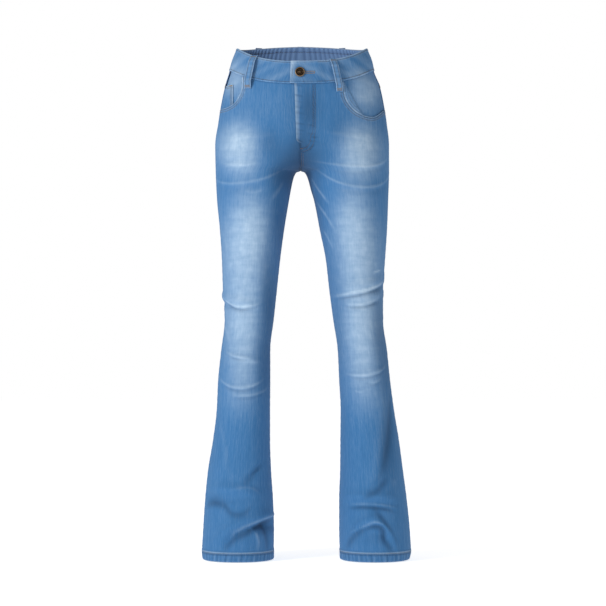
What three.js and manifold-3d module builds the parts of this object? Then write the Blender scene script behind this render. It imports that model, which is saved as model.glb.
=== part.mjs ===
// Flared jeans filled out as if worn and held at the waist, in millimetres.
// +Z is up, -Y is the front and +X is the wearer's left.
// The origin is in the middle of the waist, level with the waistband's top at the sides.
import * as THREE from "three";
import { mergeVertices } from "three/addons/utils/BufferGeometryUtils.js";
import Module from "manifold-3d";

const wasm = await Module();
wasm.setup();

// Cloth
const denim = 1.2;
const bandThick = 2.4;
const hemThick = 2.2;
const hemOut = 0.5;
const loopThick = 1.6;
const gap = 0.3;
const halfGap = gap / 2;
const layerGap = 0.7;
const bandSeamGap = 0.5;

// Heights
const crotch = -246;
const hemTop = -1009;
const hemBottom = -1029;
const waistDropFront = 33;
const waistRiseBack = 12;
const frontDropPower = 2.6;
const backRisePower = 2;
const bandDepth = 44;
const rowsLevelBelow = -192;

// Above the crotch the two legs' sections blend into one over this height
const blendHeight = 130;
// How fast the crotch seam turns upright in front and behind, and how flat the middle may get
const frontCurve = 4;
const backCurve = 2.2;
const flatLimit = 4;
// Below the crotch a leg's middle follows its inner edge only after this height
const apexEase = 60;

// How square a section is: 2 is an ellipse
const bodyPower = 2.35;
const legPower = 2.15;
const powerBlend = 60;

// Fly: the left front laps over the right one
const flyEdgeTop = -12;
const flyEdgeLow = -8;
const flyEnd = -190;
const flyJoined = -198;
const flyLift = denim + layerGap;
const flyFlat = [31, 52];
const flySettle = [-16, -2];
const bandLift = bandThick + layerGap;
const bandEndOver = -19;
const bandEndUnder = 18;

// Back yoke, measured below the waistband
const yokeSide = 35;
const yokeMiddle = 70;

// Half widths and depths from the middle, at each height
const outline = [
  { z: 30, rightOut: 118, leftOut: 124, front: 82, back: 88 },
  { z: 0, rightOut: 128, leftOut: 134, front: 88, back: 94 },
  { z: -26, rightOut: 138, leftOut: 144, front: 93, back: 99 },
  { z: -47, rightOut: 144, leftOut: 149, front: 96, back: 103 },
  { z: -75, rightOut: 152.5, leftOut: 160.5, front: 101, back: 109 },
  { z: -111, rightOut: 160.5, leftOut: 168.5, front: 105, back: 117 },
  { z: -148, rightOut: 166.5, leftOut: 174.5, front: 108, back: 124 },
  { z: -196, rightOut: 172.5, leftOut: 179, front: 108, back: 128 },
  { z: -246, rightOut: 171.5, leftOut: 179, front: 106, back: 121 },
  { z: -305, rightOut: 168.5, leftOut: 177, front: 103, back: 99 },
  { z: -366, rightOut: 162.5, leftOut: 174.5, front: 98, back: 85 },
  { z: -426, rightOut: 158.5, leftOut: 170.5, front: 92, back: 77 },
  { z: -487, rightOut: 156.5, leftOut: 166.5, front: 84, back: 70 },
  { z: -547, rightOut: 153, leftOut: 166.5, front: 76, back: 63 },
  { z: -608, rightOut: 160, leftOut: 174.5, front: 68.5, back: 62 },
  { z: -669, rightOut: 166.5, leftOut: 181, front: 64, back: 67 },
  { z: -729, rightOut: 169.5, leftOut: 189, front: 63.5, back: 74 },
  { z: -790, rightOut: 177, leftOut: 199, front: 66, back: 80 },
  { z: -850, rightOut: 187, leftOut: 207, front: 70, back: 85 },
  { z: -911, rightOut: 193, leftOut: 215, front: 75, back: 89 },
  { z: -972, rightOut: 197, leftOut: 221, front: 79, back: 93 },
  { z: -1012, rightOut: 199, leftOut: 223, front: 82, back: 95 },
  { z: -1029, rightOut: 197.5, leftOut: 220, front: 81, back: 94 },
];

// Inner edge of each leg, from the middle
const inseams = [
  { z: -246, rightIn: 0.15, leftIn: 0.15 },
  { z: -247, rightIn: 5, leftIn: 5 },
  { z: -249, rightIn: 8.5, leftIn: 8 },
  { z: -254, rightIn: 11.5, leftIn: 11.5 },
  { z: -264, rightIn: 15, leftIn: 15.5 },
  { z: -285, rightIn: 19.5, leftIn: 21 },
  { z: -305, rightIn: 23, leftIn: 27 },
  { z: -366, rightIn: 33, leftIn: 39 },
  { z: -426, rightIn: 41, leftIn: 51 },
  { z: -487, rightIn: 47.5, leftIn: 58 },
  { z: -547, rightIn: 54, leftIn: 66 },
  { z: -608, rightIn: 61, leftIn: 75 },
  { z: -669, rightIn: 61, leftIn: 78 },
  { z: -729, rightIn: 61.5, leftIn: 81 },
  { z: -790, rightIn: 61.5, leftIn: 80.5 },
  { z: -850, rightIn: 59.5, leftIn: 80 },
  { z: -911, rightIn: 55.5, leftIn: 78 },
  { z: -972, rightIn: 53.5, leftIn: 78 },
  { z: -1029, rightIn: 54.5, leftIn: 80 },
];

const right = { side: -1, outer: "rightOut", inner: "rightIn" };
const left = { side: 1, outer: "leftOut", inner: "leftIn" };

// Angles round a leg, in degrees
const inseamAngle = 0;
const frontAngle = 90;
const outseamAngle = 180;
const backAngle = 270;
const mmPerDegree = 1.2;
const foldFade = 80;

// Largest folds: push is out, or in when negative, and a positive tilt rises to the outseam
const folds = [
  { leg: right, angle: 130, z: -506, reach: 58, wide: 8, push: 2.5, tilt: 7, bow: 0 },
  { leg: right, angle: 132, z: -520, reach: 60, wide: 6, push: -4, tilt: 7, bow: 0 },
  { leg: right, angle: 95, z: -622, reach: 50, wide: 6, push: 2, tilt: 7, bow: 0 },
  { leg: right, angle: 64, z: -851, reach: 24, wide: 6, push: -3, tilt: -35, bow: 0 },
  { leg: right, angle: 94, z: -884, reach: 48, wide: 10, push: 4, tilt: 8, bow: 4 },
  { leg: right, angle: 122, z: -906, reach: 42, wide: 8, push: -4, tilt: 0, bow: -6 },
  { leg: right, angle: 76, z: -946, reach: 66, wide: 10, push: 5, tilt: -20, bow: 15 },
  { leg: right, angle: 72, z: -964, reach: 58, wide: 9, push: -6, tilt: -20, bow: 15 },
  { leg: right, angle: 30, z: -958, reach: 26, wide: 14, push: -4, tilt: 0, bow: 0 },
  { leg: right, angle: 268, z: -566, reach: 52, wide: 8, push: -4, tilt: 5, bow: 0 },
  { leg: right, angle: 250, z: -540, reach: 40, wide: 7, push: -3, tilt: -12, bow: 4 },
  { leg: right, angle: 276, z: -930, reach: 55, wide: 10, push: 4, tilt: 10, bow: 6 },
  { leg: right, angle: 262, z: -954, reach: 50, wide: 9, push: -5, tilt: 6, bow: 4 },
  { leg: left, angle: 105, z: -476, reach: 60, wide: 8, push: 2, tilt: 10, bow: 0 },
  { leg: left, angle: 105, z: -489, reach: 62, wide: 6, push: -3.5, tilt: 10, bow: 0 },
  { leg: left, angle: 118, z: -501, reach: 45, wide: 7, push: 2, tilt: 10, bow: 0 },
  { leg: left, angle: 116, z: -513, reach: 36, wide: 6, push: -3, tilt: 9, bow: 0 },
  { leg: left, angle: 94, z: -652, reach: 45, wide: 6, push: 2, tilt: 8, bow: 0 },
  { leg: left, angle: 94, z: -875, reach: 24, wide: 6, push: -3, tilt: 50, bow: 0 },
  { leg: left, angle: 82, z: -896, reach: 50, wide: 8, push: 3, tilt: 0, bow: 3 },
  { leg: left, angle: 82, z: -911, reach: 50, wide: 7, push: -3.5, tilt: 0, bow: 3 },
  { leg: left, angle: 86, z: -944, reach: 46, wide: 10, push: 5, tilt: -4, bow: 46 },
  { leg: left, angle: 86, z: -970, reach: 28, wide: 14, push: -4.5, tilt: 0, bow: 14 },
  { leg: left, angle: 272, z: -556, reach: 50, wide: 8, push: -4, tilt: -6, bow: 0 },
  { leg: left, angle: 286, z: -534, reach: 40, wide: 7, push: -3, tilt: 10, bow: 3 },
  { leg: left, angle: 262, z: -938, reach: 52, wide: 10, push: 4, tilt: -9, bow: 7 },
  { leg: left, angle: 276, z: -962, reach: 48, wide: 9, push: -5, tilt: -7, bow: 5 },
];

// Rows of the leg panels: each zone runs down to its end
const topRows = 6;
const crotchRowsAbove = [42, 27, 16, 8, 3, 0];
const crotchRowsBelow = [1.5, 5, 12, 26];
const legZones = [
  { end: -470, rows: 6 },
  { end: -560, rows: 9 },
  { end: -850, rows: 7 },
  { end: hemTop + halfGap, rows: 12 },
];
const panelColumns = 11;
const backBandColumns = 12;

// Scooped pocket mouths, as seen from the front, from the waistband to the outseam
const mouthLeft = [
  { x: 84.5, z: -40 },
  { x: 85, z: -70 },
  { x: 88.5, z: -102 },
  { x: 98.5, z: -121 },
  { x: 113, z: -134 },
  { x: 131, z: -141 },
  { x: 148, z: -141 },
  { x: 162, z: -131 },
  { x: 176, z: -116 },
];
const mouthRight = [
  { x: -115, z: -30 },
  { x: -115.5, z: -64 },
  { x: -115.5, z: -80 },
  { x: -120.5, z: -98 },
  { x: -131, z: -113 },
  { x: -144, z: -121 },
  { x: -158, z: -123 },
  { x: -172, z: -119 },
];
const mouthCutWidth = 230;
const mouthCutTop = 20;
const mouthCutFront = 160;
const mouthCutBack = 25;
const mouthCutRise = 20;

// Facings and the coin pocket behind the mouths
const facingUnderLeft = -denim - layerGap;
const facingLow = -158;
const facingTuck = 16;
const coinThick = 1.0;
const coinOut = -denim - layerGap;
const facingUnderRight = coinOut - coinThick - layerGap;
const coinEdge = 137;
const coinTop = -76;
const coinFoot = -150;

// Back patch pockets
const patchTop = -134;
const patchInner = 34;
const patchOuter = 142;
const patchTaper = 8;
const patchSide = 116;
const patchPoint = 26;
const patchGap = 1.2;
const patchOut = denim + patchGap;

// Belt loops: x at the top and at the foot, and which face they are on
const loopWidth = 12;
const loopLong = 66;
const loopStand = 6.8;
const loopTopInset = 0.5;
const loopFlatness = 1.75;
const loopSettle = [0.78, 0.94];
const bandOut = 1.0;
const loops = [
  { name: "belt_loop_front_right", top: -90.5, foot: -104.5, back: false },
  { name: "belt_loop_front_left", top: 63.5, foot: 77.5, back: false },
  { name: "belt_loop_side_right", top: -84, foot: -88, back: true },
  { name: "belt_loop_side_left", top: 84, foot: 88, back: true },
  { name: "belt_loop_back", top: 0, foot: 0, back: true },
];

// Shank button
const buttonX = -1;
const buttonZ = -56;
const shankRadius = 3.2;
const shankHigh = bandLift + gap;
const buttonOutline = [
  { radius: 0, height: 0 },
  { radius: shankRadius, height: 0 },
  { radius: shankRadius, height: shankHigh },
  { radius: 8.7, height: shankHigh },
  { radius: 9.5, height: shankHigh + 1.3 },
  { radius: 8.6, height: shankHigh + 2.6 },
  { radius: 7.3, height: shankHigh + 2.6 },
  { radius: 6.5, height: shankHigh + 1.7 },
  { radius: 2.6, height: shankHigh + 1.9 },
  { radius: 0, height: shankHigh + 2.3 },
];
const holeRadius = 4.2;
const slitEnd = 27;
const slitWidth = 1.2;
const slitCutDeep = 120;
const slitCutFront = -40;

// Zip and underlap
const zipMiddle = 12;
const zipTop = -91.3;
const zipEnd = -188;
const zipHalf = 9;
const zipOut = -1.5;
const zipThick = 1.0;
const sliderTop = -80;
const sliderFoot = -91;
const sliderHalf = 4;
const sliderThick = 3.2;
const tabHalf = 2.4;
const tabTop = -89;
const tabFoot = -112;
const tabThick = 1.0;
const tabSink = 0.05;
const tapeFront = -0.3;
const underlapFrom = -30;
const underlapTo = 26;
const underlapStep = [-6, 2];
const underlapDeep = tapeFront - sliderThick - gap;

// Gathers of the inner waistband at the back
const gathers = 40;
const columnsPerGather = 3;
const gatherDeep = 0.8;
const innerBandThick = 1.1;
const innerBandSweep = 82;
const innerBandTopInset = 1;
const innerBandFootInset = 2;

const mix = (a, b, t) => a + (b - a) * t;
const clamp01 = (t) => Math.min(1, Math.max(0, t));

function smooth(from, to, value) {
  const t = clamp01((value - from) / (to - from));
  return t * t * (3 - 2 * t);
}

// Slope at a table row that never makes the curve overshoot its rows
function rowSlope(rows, column, i) {
  if (i <= 0 || i >= rows.length - 1) {
    const a = rows[Math.max(0, i - 1)];
    const b = rows[Math.min(rows.length - 1, i + 1)];
    return (b[column] - a[column]) / (b.z - a.z);
  }
  const above = (rows[i][column] - rows[i - 1][column]) / (rows[i].z - rows[i - 1].z);
  const below = (rows[i + 1][column] - rows[i][column]) / (rows[i + 1].z - rows[i].z);
  return above * below <= 0 ? 0 : (2 * above * below) / (above + below);
}

// A table's column at any height, on a smooth curve through its rows
function read(rows, column, z) {
  let i = 0;
  while (i < rows.length - 2 && rows[i + 1].z > z) {
    i += 1;
  }
  const a = rows[i];
  const b = rows[i + 1];
  const step = b.z - a.z;
  const t = clamp01((z - a.z) / step);
  const t2 = t * t;
  const t3 = t2 * t;
  return (
    (2 * t3 - 3 * t2 + 1) * a[column] +
    (t3 - 2 * t2 + t) * step * rowSlope(rows, column, i) +
    (3 * t2 - 2 * t3) * b[column] +
    (t3 - t2) * step * rowSlope(rows, column, i + 1)
  );
}

// A level section of one leg and its half of the hips: centre and half widths
function section(leg, z, isBack) {
  const outer = read(outline, leg.outer, z);
  const front = read(outline, "front", z);
  const back = read(outline, "back", z);
  const middle = (back - front) / 2;
  const depth = (back + front) / 2;
  const power = mix(legPower, bodyPower, smooth(crotch - powerBlend, crotch + powerBlend, z));
  if (z <= crotch) {
    const inner = read(inseams, leg.inner, z);
    const eased = mix(halfGap, inner, smooth(0, apexEase, crotch - z));
    const centre = (outer + eased) / 2;
    return { centre, halfIn: centre - inner, halfOut: outer - centre, middle, depth, power };
  }
  const t = clamp01((z - crotch) / blendHeight);
  const centre = ((outer + halfGap) / 2) * (1 - smooth(0, 1, t));
  const joining = Math.pow(1 - t, isBack ? backCurve : frontCurve);
  const widest = flatLimit * outer;
  const halfIn = t < 1 ? Math.min((centre - halfGap * (1 - t)) / joining, widest) : widest;
  return { centre, halfIn, halfOut: outer - centre, middle, depth, power };
}

function foldPush(leg, angle, z) {
  let push = 0;
  for (const fold of folds) {
    if (fold.leg !== leg || Math.abs(z - fold.z) > foldFade) {
      continue;
    }
    const tilt = THREE.MathUtils.degToRad(fold.tilt);
    const around = (angle - fold.angle) * mmPerDegree;
    const rise = z - fold.z;
    const along = around * Math.cos(tilt) + rise * Math.sin(tilt);
    const off = rise * Math.cos(tilt) - around * Math.sin(tilt) + fold.bow * (along / fold.reach) ** 2;
    push += fold.push * Math.exp(-((off / fold.wide) ** 2) - (along / fold.reach) ** 4);
  }
  return push;
}

// The cloth's outer face at an angle round a leg and a height
function facePoint(leg, angle, z) {
  const cut = section(leg, z, angle > outseamAngle);
  const turn = THREE.MathUtils.degToRad(angle);
  const c = Math.cos(turn);
  const s = Math.sin(turn);
  const across = Math.sign(c) * Math.pow(Math.abs(c), 2 / cut.power);
  const along = Math.sign(s) * Math.pow(Math.abs(s), 2 / cut.power);
  const dx = -(c > 0 ? cut.halfIn : cut.halfOut) * across;
  const dy = -cut.depth * along;
  const grow = 1 + foldPush(leg, angle, z) / Math.hypot(dx, dy);
  return new THREE.Vector3(leg.side * (cut.centre + dx * grow), cut.middle + dy * grow, z);
}

function faceNormal(leg, angle, z) {
  const around = facePoint(leg, angle + 1, z).sub(facePoint(leg, angle - 1, z));
  const upward = facePoint(leg, angle, z + 1).sub(facePoint(leg, angle, z - 1));
  return around.cross(upward).multiplyScalar(leg.side).normalize();
}

function raised(leg, angle, z, out) {
  return facePoint(leg, angle, z).addScaledVector(faceNormal(leg, angle, z), out);
}

// The angle whose point lies x outward from the middle, on the front or the back
function angleAt(leg, x, z, isBack) {
  const cut = section(leg, z, isBack);
  const ratio = x < cut.centre ? (cut.centre - x) / cut.halfIn : (x - cut.centre) / cut.halfOut;
  const c = Math.pow(clamp01(ratio), cut.power / 2);
  const angle = THREE.MathUtils.radToDeg(Math.acos(x < cut.centre ? c : -c));
  return isBack ? 360 - angle : angle;
}

// The angle that keeps half a seam's gap from the inseam or outseam
function seamAngle(leg, z, isBack) {
  const cut = section(leg, z, isBack);
  return THREE.MathUtils.radToDeg(Math.asin(Math.pow(halfGap / cut.depth, cut.power / 2)));
}

// A spot on the front or back by its signed x
function spot(x, z, isBack, out) {
  const leg = x < 0 ? right : left;
  return { leg, angle: angleAt(leg, Math.abs(x), z, isBack), z, out };
}

// Top of the waistband, as a height at an angle round the waist
function waistLine(angle) {
  const ratio = Math.pow(Math.abs(Math.cos(THREE.MathUtils.degToRad(angle))), 2 / bodyPower);
  if (angle <= outseamAngle) {
    return -waistDropFront * (1 - ratio ** frontDropPower);
  }
  return waistRiseBack * (1 - ratio ** backRisePower);
}

const bandSeam = (angle) => waistLine(angle) - bandDepth;

function yokeSeam(angle) {
  const ratio = Math.abs(Math.cos(THREE.MathUtils.degToRad(angle)));
  return bandSeam(angle) - mix(yokeMiddle, yokeSide, ratio);
}

// A wall of cloth over a grid: at(u, v) gives leg, angle, z, how far out its face is, and its thickness
function cloth({ columns, rows, at, isRing = false }) {
  const positions = [];
  const faces = [];
  const rowLength = isRing ? columns : columns + 1;
  const layer = rowLength * (rows + 1);
  for (const isInner of [false, true]) {
    for (let r = 0; r <= rows; r += 1) {
      for (let c = 0; c < rowLength; c += 1) {
        const { leg, angle, z, out, thick } = at(c / columns, r / rows, c, r);
        const point = raised(leg, angle, z, isInner ? out - thick : out);
        positions.push(point.x, point.y, point.z);
      }
    }
  }
  const quad = (a, b, c, d) => faces.push(a, b, c, a, c, d);
  const index = (r, c) => r * rowLength + (c % rowLength);
  for (let r = 0; r < rows; r += 1) {
    for (let c = 0; c < columns; c += 1) {
      const [a, b, d, e] = [index(r, c), index(r, c + 1), index(r + 1, c + 1), index(r + 1, c)];
      quad(a, b, d, e);
      quad(layer + a, layer + e, layer + d, layer + b);
    }
  }
  for (let c = 0; c < columns; c += 1) {
    const [a, b] = [index(0, c), index(0, c + 1)];
    const [d, e] = [index(rows, c), index(rows, c + 1)];
    quad(b, a, layer + a, layer + b);
    quad(d, e, layer + e, layer + d);
  }
  for (let r = 0; r < rows && !isRing; r += 1) {
    const [a, b] = [index(r, 0), index(r + 1, 0)];
    const [d, e] = [index(r, columns), index(r + 1, columns)];
    quad(a, b, layer + b, layer + a);
    quad(e, d, layer + d, layer + e);
  }
  const geometry = new THREE.BufferGeometry();
  geometry.setAttribute("position", new THREE.Float32BufferAttribute(positions, 3));
  geometry.setIndex(faces);
  return facingOut(geometry);
}

// Turns every face over when the solid is inside out
function facingOut(geometry) {
  const { position } = geometry.attributes;
  const index = geometry.index.array;
  const [a, b, c] = [new THREE.Vector3(), new THREE.Vector3(), new THREE.Vector3()];
  let volume = 0;
  for (let i = 0; i < index.length; i += 3) {
    a.fromBufferAttribute(position, index[i]);
    b.fromBufferAttribute(position, index[i + 1]);
    c.fromBufferAttribute(position, index[i + 2]);
    volume += a.dot(b.cross(c));
  }
  if (volume < 0) {
    for (let i = 0; i < index.length; i += 3) {
      [index[i], index[i + 1]] = [index[i + 1], index[i]];
    }
  }
  return geometry;
}

function toSolid(geometry) {
  const plain = geometry.clone();
  plain.deleteAttribute("normal");
  plain.deleteAttribute("uv");
  const merged = mergeVertices(plain, 1e-4);
  return new wasm.Manifold(
    new wasm.Mesh({
      numProp: 3,
      vertProperties: new Float32Array(merged.attributes.position.array),
      triVerts: new Uint32Array(merged.index.array),
    }),
  );
}

function fromSolid(solid) {
  const mesh = solid.getMesh();
  const geometry = new THREE.BufferGeometry();
  geometry.setAttribute("position", new THREE.BufferAttribute(mesh.vertProperties, 3));
  geometry.setIndex(new THREE.BufferAttribute(mesh.triVerts, 1));
  return geometry;
}

const cutAway = (geometry, tool) => fromSolid(toSolid(geometry).subtract(toSolid(tool)));
const joined = (a, b) => fromSolid(toSolid(a).add(toSolid(b)));

// Heights of a panel's rows, from its top at the outseam down to the hem
function rowHeights(top) {
  const heights = [];
  const firstAboveCrotch = crotch + crotchRowsAbove[0];
  for (let r = 0; r < topRows; r += 1) {
    heights.push(mix(top, firstAboveCrotch, r / topRows));
  }
  crotchRowsAbove.forEach((above) => heights.push(crotch + above));
  crotchRowsBelow.forEach((below) => heights.push(crotch - below));
  for (const zone of legZones) {
    const start = heights.at(-1);
    for (let r = 1; r <= zone.rows; r += 1) {
      heights.push(mix(start, zone.end, r / zone.rows));
    }
  }
  return heights;
}

// Left edge of the left front: past the middle along the fly, at the seam below it
function flyEdge(z) {
  const line = mix(flyEdgeLow, flyEdgeTop, clamp01((z - flyEnd) / (-bandDepth - waistDropFront - flyEnd)));
  return mix(halfGap, line, smooth(flyJoined, flyEnd, z));
}

function flyRaise(x, z) {
  const upper = smooth(flyJoined + flySettle[0], flyJoined + flySettle[1], z);
  return flyLift * (1 - smooth(flyFlat[0], flyFlat[1], x)) * upper;
}

// One front or back of a leg, from its waist seam down to the hem
function legPanel(leg, isBack) {
  const seam = isBack ? yokeSeam : bandSeam;
  const seamAtSide = seam(outseamAngle);
  const heights = rowHeights(seamAtSide - halfGap);
  const isOverlap = leg === left && !isBack;
  return cloth({
    columns: panelColumns,
    rows: heights.length - 1,
    at: (u, v, c, r) => {
      const level = heights[r];
      const edge = isOverlap ? flyEdge(level) : halfGap;
      const low = seamAngle(leg, level, isBack);
      const from = isBack ? 360 - angleAt(leg, edge, level, true) : angleAt(leg, edge, level, false);
      const reach = mix(Math.max(from, low), outseamAngle - low, u);
      const angle = isBack ? 360 - reach : reach;
      const slant = (seam(angle) - seamAtSide) * smooth(rowsLevelBelow, seamAtSide, level);
      const z = level + slant;
      const x = leg.side * facePoint(leg, angle, z).x;
      return { leg, angle, z, out: isOverlap ? flyRaise(x, level) : 0, thick: denim };
    },
  });
}

// A column that reaches past the pocket mouth to the outseam and the waist
function mouthCut(points) {
  const side = Math.sign(points[0].x);
  const shape = new THREE.Shape();
  shape.moveTo(points[0].x, mouthCutTop);
  shape.lineTo(points[0].x, points[0].z);
  shape.splineThru(points.slice(1).map((point) => new THREE.Vector2(point.x, point.z)));
  shape.lineTo(side * mouthCutWidth, points.at(-1).z + mouthCutRise);
  shape.lineTo(side * mouthCutWidth, mouthCutTop);
  const options = { depth: mouthCutFront + mouthCutBack, bevelEnabled: false, curveSegments: 3 };
  const column = new THREE.ExtrudeGeometry(shape, options);
  column.rotateX(Math.PI / 2);
  column.translate(0, mouthCutBack, 0);
  return column;
}

function yoke(leg) {
  return cloth({
    columns: backBandColumns,
    rows: 2,
    at: (u, v) => {
      const low = seamAngle(leg, -bandDepth, true);
      const from = 360 - angleAt(leg, halfGap, -bandDepth, true);
      const angle = 360 - mix(from, outseamAngle - low, u);
      const z = mix(bandSeam(angle) - halfGap, yokeSeam(angle) + halfGap, v);
      return { leg, angle, z, out: 0, thick: denim };
    },
  });
}

// Half of the waistband, from its end at the fly to the seam at the centre back
function waistband(leg, endX) {
  const from = angleAt(leg, leg.side * endX, -bandDepth, false);
  const to = angleAt(leg, halfGap, 0, true);
  const isOver = leg === left;
  return cloth({
    columns: panelColumns + backBandColumns,
    rows: 2,
    at: (u, v, c) => {
      const onFront = mix(from, outseamAngle, c / panelColumns);
      const onBack = mix(outseamAngle, to, (c - panelColumns) / backBandColumns);
      const angle = c <= panelColumns ? onFront : onBack;
      const z = mix(waistLine(angle), bandSeam(angle) - halfGap + bandSeamGap, v);
      const x = leg.side * facePoint(leg, angle, z).x;
      const isFront = angle < outseamAngle;
      const lift = isOver && isFront ? bandLift * (1 - smooth(flyFlat[0], flyFlat[1], x)) : 0;
      return { leg, angle, z, out: bandOut + lift, thick: bandThick };
    },
  });
}

// Keyhole of the buttonhole: a round end for the shank and a slit
function buttonhole() {
  const shape = new THREE.Shape();
  const slit = slitWidth / 2;
  const start = Math.asin(slit / holeRadius);
  shape.absarc(buttonX, buttonZ, holeRadius, start, 2 * Math.PI - start, false);
  shape.lineTo(slitEnd, buttonZ - slit);
  shape.lineTo(slitEnd, buttonZ + slit);
  const options = { depth: slitCutDeep, bevelEnabled: false, curveSegments: 20 };
  const hole = new THREE.ExtrudeGeometry(shape, options);
  hole.rotateX(Math.PI / 2);
  hole.translate(0, slitCutFront, 0);
  return hole;
}

function innerWaistband() {
  const columns = gathers * columnsPerGather;
  return cloth({
    columns,
    rows: 1,
    at: (u, v, c) => {
      const sweep = mix(-1, 1, u) * innerBandSweep;
      const leg = sweep < 0 ? right : left;
      const angle = backAngle - Math.abs(sweep);
      const top = waistLine(angle) - innerBandTopInset;
      const z = mix(top, bandSeam(angle) + innerBandFootInset, v);
      const crest = c % columnsPerGather === 1 ? gatherDeep : 0;
      const out = bandOut - bandThick - layerGap;
      return { leg, angle, z, out, thick: innerBandThick + crest };
    },
  });
}

function hem(leg) {
  return cloth({
    columns: 44,
    rows: 2,
    isRing: true,
    at: (u, v) => {
      const z = mix(hemTop - halfGap, hemBottom, v);
      return { leg, angle: mix(inseamAngle, 360, u), z, out: hemOut, thick: hemThick };
    },
  });
}

function pocketFacing(leg, mouth, out) {
  const startX = Math.abs(mouth[0].x) - facingTuck;
  return cloth({
    columns: 10,
    rows: 5,
    at: (u, v) => {
      const from = angleAt(leg, startX, -bandDepth, false);
      const to = outseamAngle - seamAngle(leg, -bandDepth, false);
      const angle = mix(from, to, u);
      const z = mix(bandSeam(angle) - halfGap, facingLow, v);
      return { leg, angle, z, out, thick: denim };
    },
  });
}

function coinPocket() {
  return cloth({
    columns: 4,
    rows: 4,
    at: (u, v) => {
      const z = mix(coinTop, coinFoot, v);
      const from = angleAt(right, coinEdge, z, false);
      const to = outseamAngle - seamAngle(right, z, false);
      return { leg: right, angle: mix(from, to, u), z, out: coinOut, thick: coinThick };
    },
  });
}

// A patch pocket that narrows downwards and ends in a blunt point
function backPocket(leg) {
  return cloth({
    columns: 10,
    rows: 12,
    at: (u, v) => {
      const inset = patchTaper * v;
      const x = mix(patchInner + inset, patchOuter - inset, u);
      const point = patchPoint * (1 - Math.abs(2 * u - 1));
      const z = patchTop - v * (patchSide + point);
      return { ...spot(leg.side * x, z, true, patchOut), thick: denim };
    },
  });
}

function beltLoop({ top, foot, back }) {
  const lineX = Math.abs(mix(top, foot, 0.5));
  const leg = top < 0 ? right : left;
  const start = waistLine(angleAt(leg, lineX, -bandDepth, back)) + loopTopInset;
  return cloth({
    columns: 2,
    rows: 11,
    at: (u, v) => {
      const x = mix(top, foot, v) + loopWidth * (u - 0.5);
      const z = start - loopLong * v;
      const seat = mix(bandOut + gap, layerGap, smooth(loopSettle[0], loopSettle[1], v));
      const arch = Math.min(1, loopFlatness * Math.sin(Math.PI * v));
      return { ...spot(x, z, back, seat + loopStand * arch + loopThick), thick: loopThick };
    },
  });
}

// Dished head on a short shank, turned about the cloth's normal
function waistButton() {
  const profile = buttonOutline.map(({ radius, height }) => new THREE.Vector2(radius, height));
  const button = new THREE.LatheGeometry(profile, 22);
  const { leg, angle } = spot(buttonX, buttonZ, false, 0);
  const normal = faceNormal(leg, angle, buttonZ);
  button.applyQuaternion(new THREE.Quaternion().setFromUnitVectors(new THREE.Vector3(0, 1, 0), normal));
  button.translate(...raised(leg, angle, buttonZ, bandOut + gap).toArray());
  return button;
}

// A flat piece on the front between two x and two heights
function frontStrip({ fromX, toX, top, foot, columns, rows, out, thick }) {
  return cloth({
    columns,
    rows,
    at: (u, v) => {
      const x = mix(fromX, toX, u);
      const z = mix(top, foot, v);
      return { ...spot(x, z, false, out(x)), thick };
    },
  });
}

function zipSlider() {
  const body = frontStrip({
    fromX: zipMiddle - sliderHalf,
    toX: zipMiddle + sliderHalf,
    top: sliderTop,
    foot: sliderFoot,
    columns: 1,
    rows: 1,
    out: () => tapeFront,
    thick: sliderThick,
  });
  const tab = frontStrip({
    fromX: zipMiddle - tabHalf,
    toX: zipMiddle + tabHalf,
    top: tabTop,
    foot: tabFoot,
    columns: 1,
    rows: 2,
    out: () => tapeFront - tabSink,
    thick: tabThick,
  });
  return joined(body, tab);
}

const zipTape = () =>
  frontStrip({
    fromX: zipMiddle - zipHalf,
    toX: zipMiddle + zipHalf,
    top: zipTop,
    foot: zipEnd,
    columns: 3,
    rows: 7,
    out: () => zipOut,
    thick: zipThick,
  });

const flyUnderlap = () =>
  frontStrip({
    fromX: underlapFrom,
    toX: underlapTo,
    top: bandSeam(frontAngle) - gap,
    foot: zipEnd,
    columns: 10,
    rows: 5,
    out: (x) => mix(-denim - layerGap, underlapDeep, smooth(underlapStep[0], underlapStep[1], x)),
    thick: denim,
  });

const finishes = {
  denim: { color: 0x4a86c4, roughness: 0.9, metalness: 0 },
  denimInside: { color: 0x6f7fa8, roughness: 0.92, metalness: 0 },
  zip: { color: 0x2f4f7c, roughness: 0.8, metalness: 0 },
  bronze: { color: 0x5a4a3a, roughness: 0.45, metalness: 1 },
};

const jeans = new THREE.Group();

function add(name, finish, geometry) {
  const mesh = new THREE.Mesh(geometry, new THREE.MeshStandardMaterial(finishes[finish]));
  mesh.name = name;
  jeans.add(mesh);
}

add("front_left", "denim", cutAway(legPanel(left, false), mouthCut(mouthLeft)));
add("front_right", "denim", cutAway(legPanel(right, false), mouthCut(mouthRight)));
add("back_left", "denim", legPanel(left, true));
add("back_right", "denim", legPanel(right, true));
add("yoke_left", "denim", yoke(left));
add("yoke_right", "denim", yoke(right));
add("pocket_facing_left", "denim", pocketFacing(left, mouthLeft, facingUnderLeft));
add("pocket_facing_right", "denim", pocketFacing(right, mouthRight, facingUnderRight));
add("coin_pocket", "denim", coinPocket());
add("back_pocket_left", "denim", backPocket(left));
add("back_pocket_right", "denim", backPocket(right));
add("waistband_left", "denim", cutAway(waistband(left, bandEndOver), buttonhole()));
add("waistband_right", "denim", waistband(right, bandEndUnder));
add("waistband_inner", "denimInside", innerWaistband());
add("fly_underlap", "denim", flyUnderlap());
add("zip_tape", "zip", zipTape());
add("zip_slider", "bronze", zipSlider());
add("waist_button", "bronze", waistButton());
loops.forEach((loop) => add(loop.name, "denim", beltLoop(loop)));
add("hem_left", "denim", hem(left));
add("hem_right", "denim", hem(right));

export default jeans;
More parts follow.
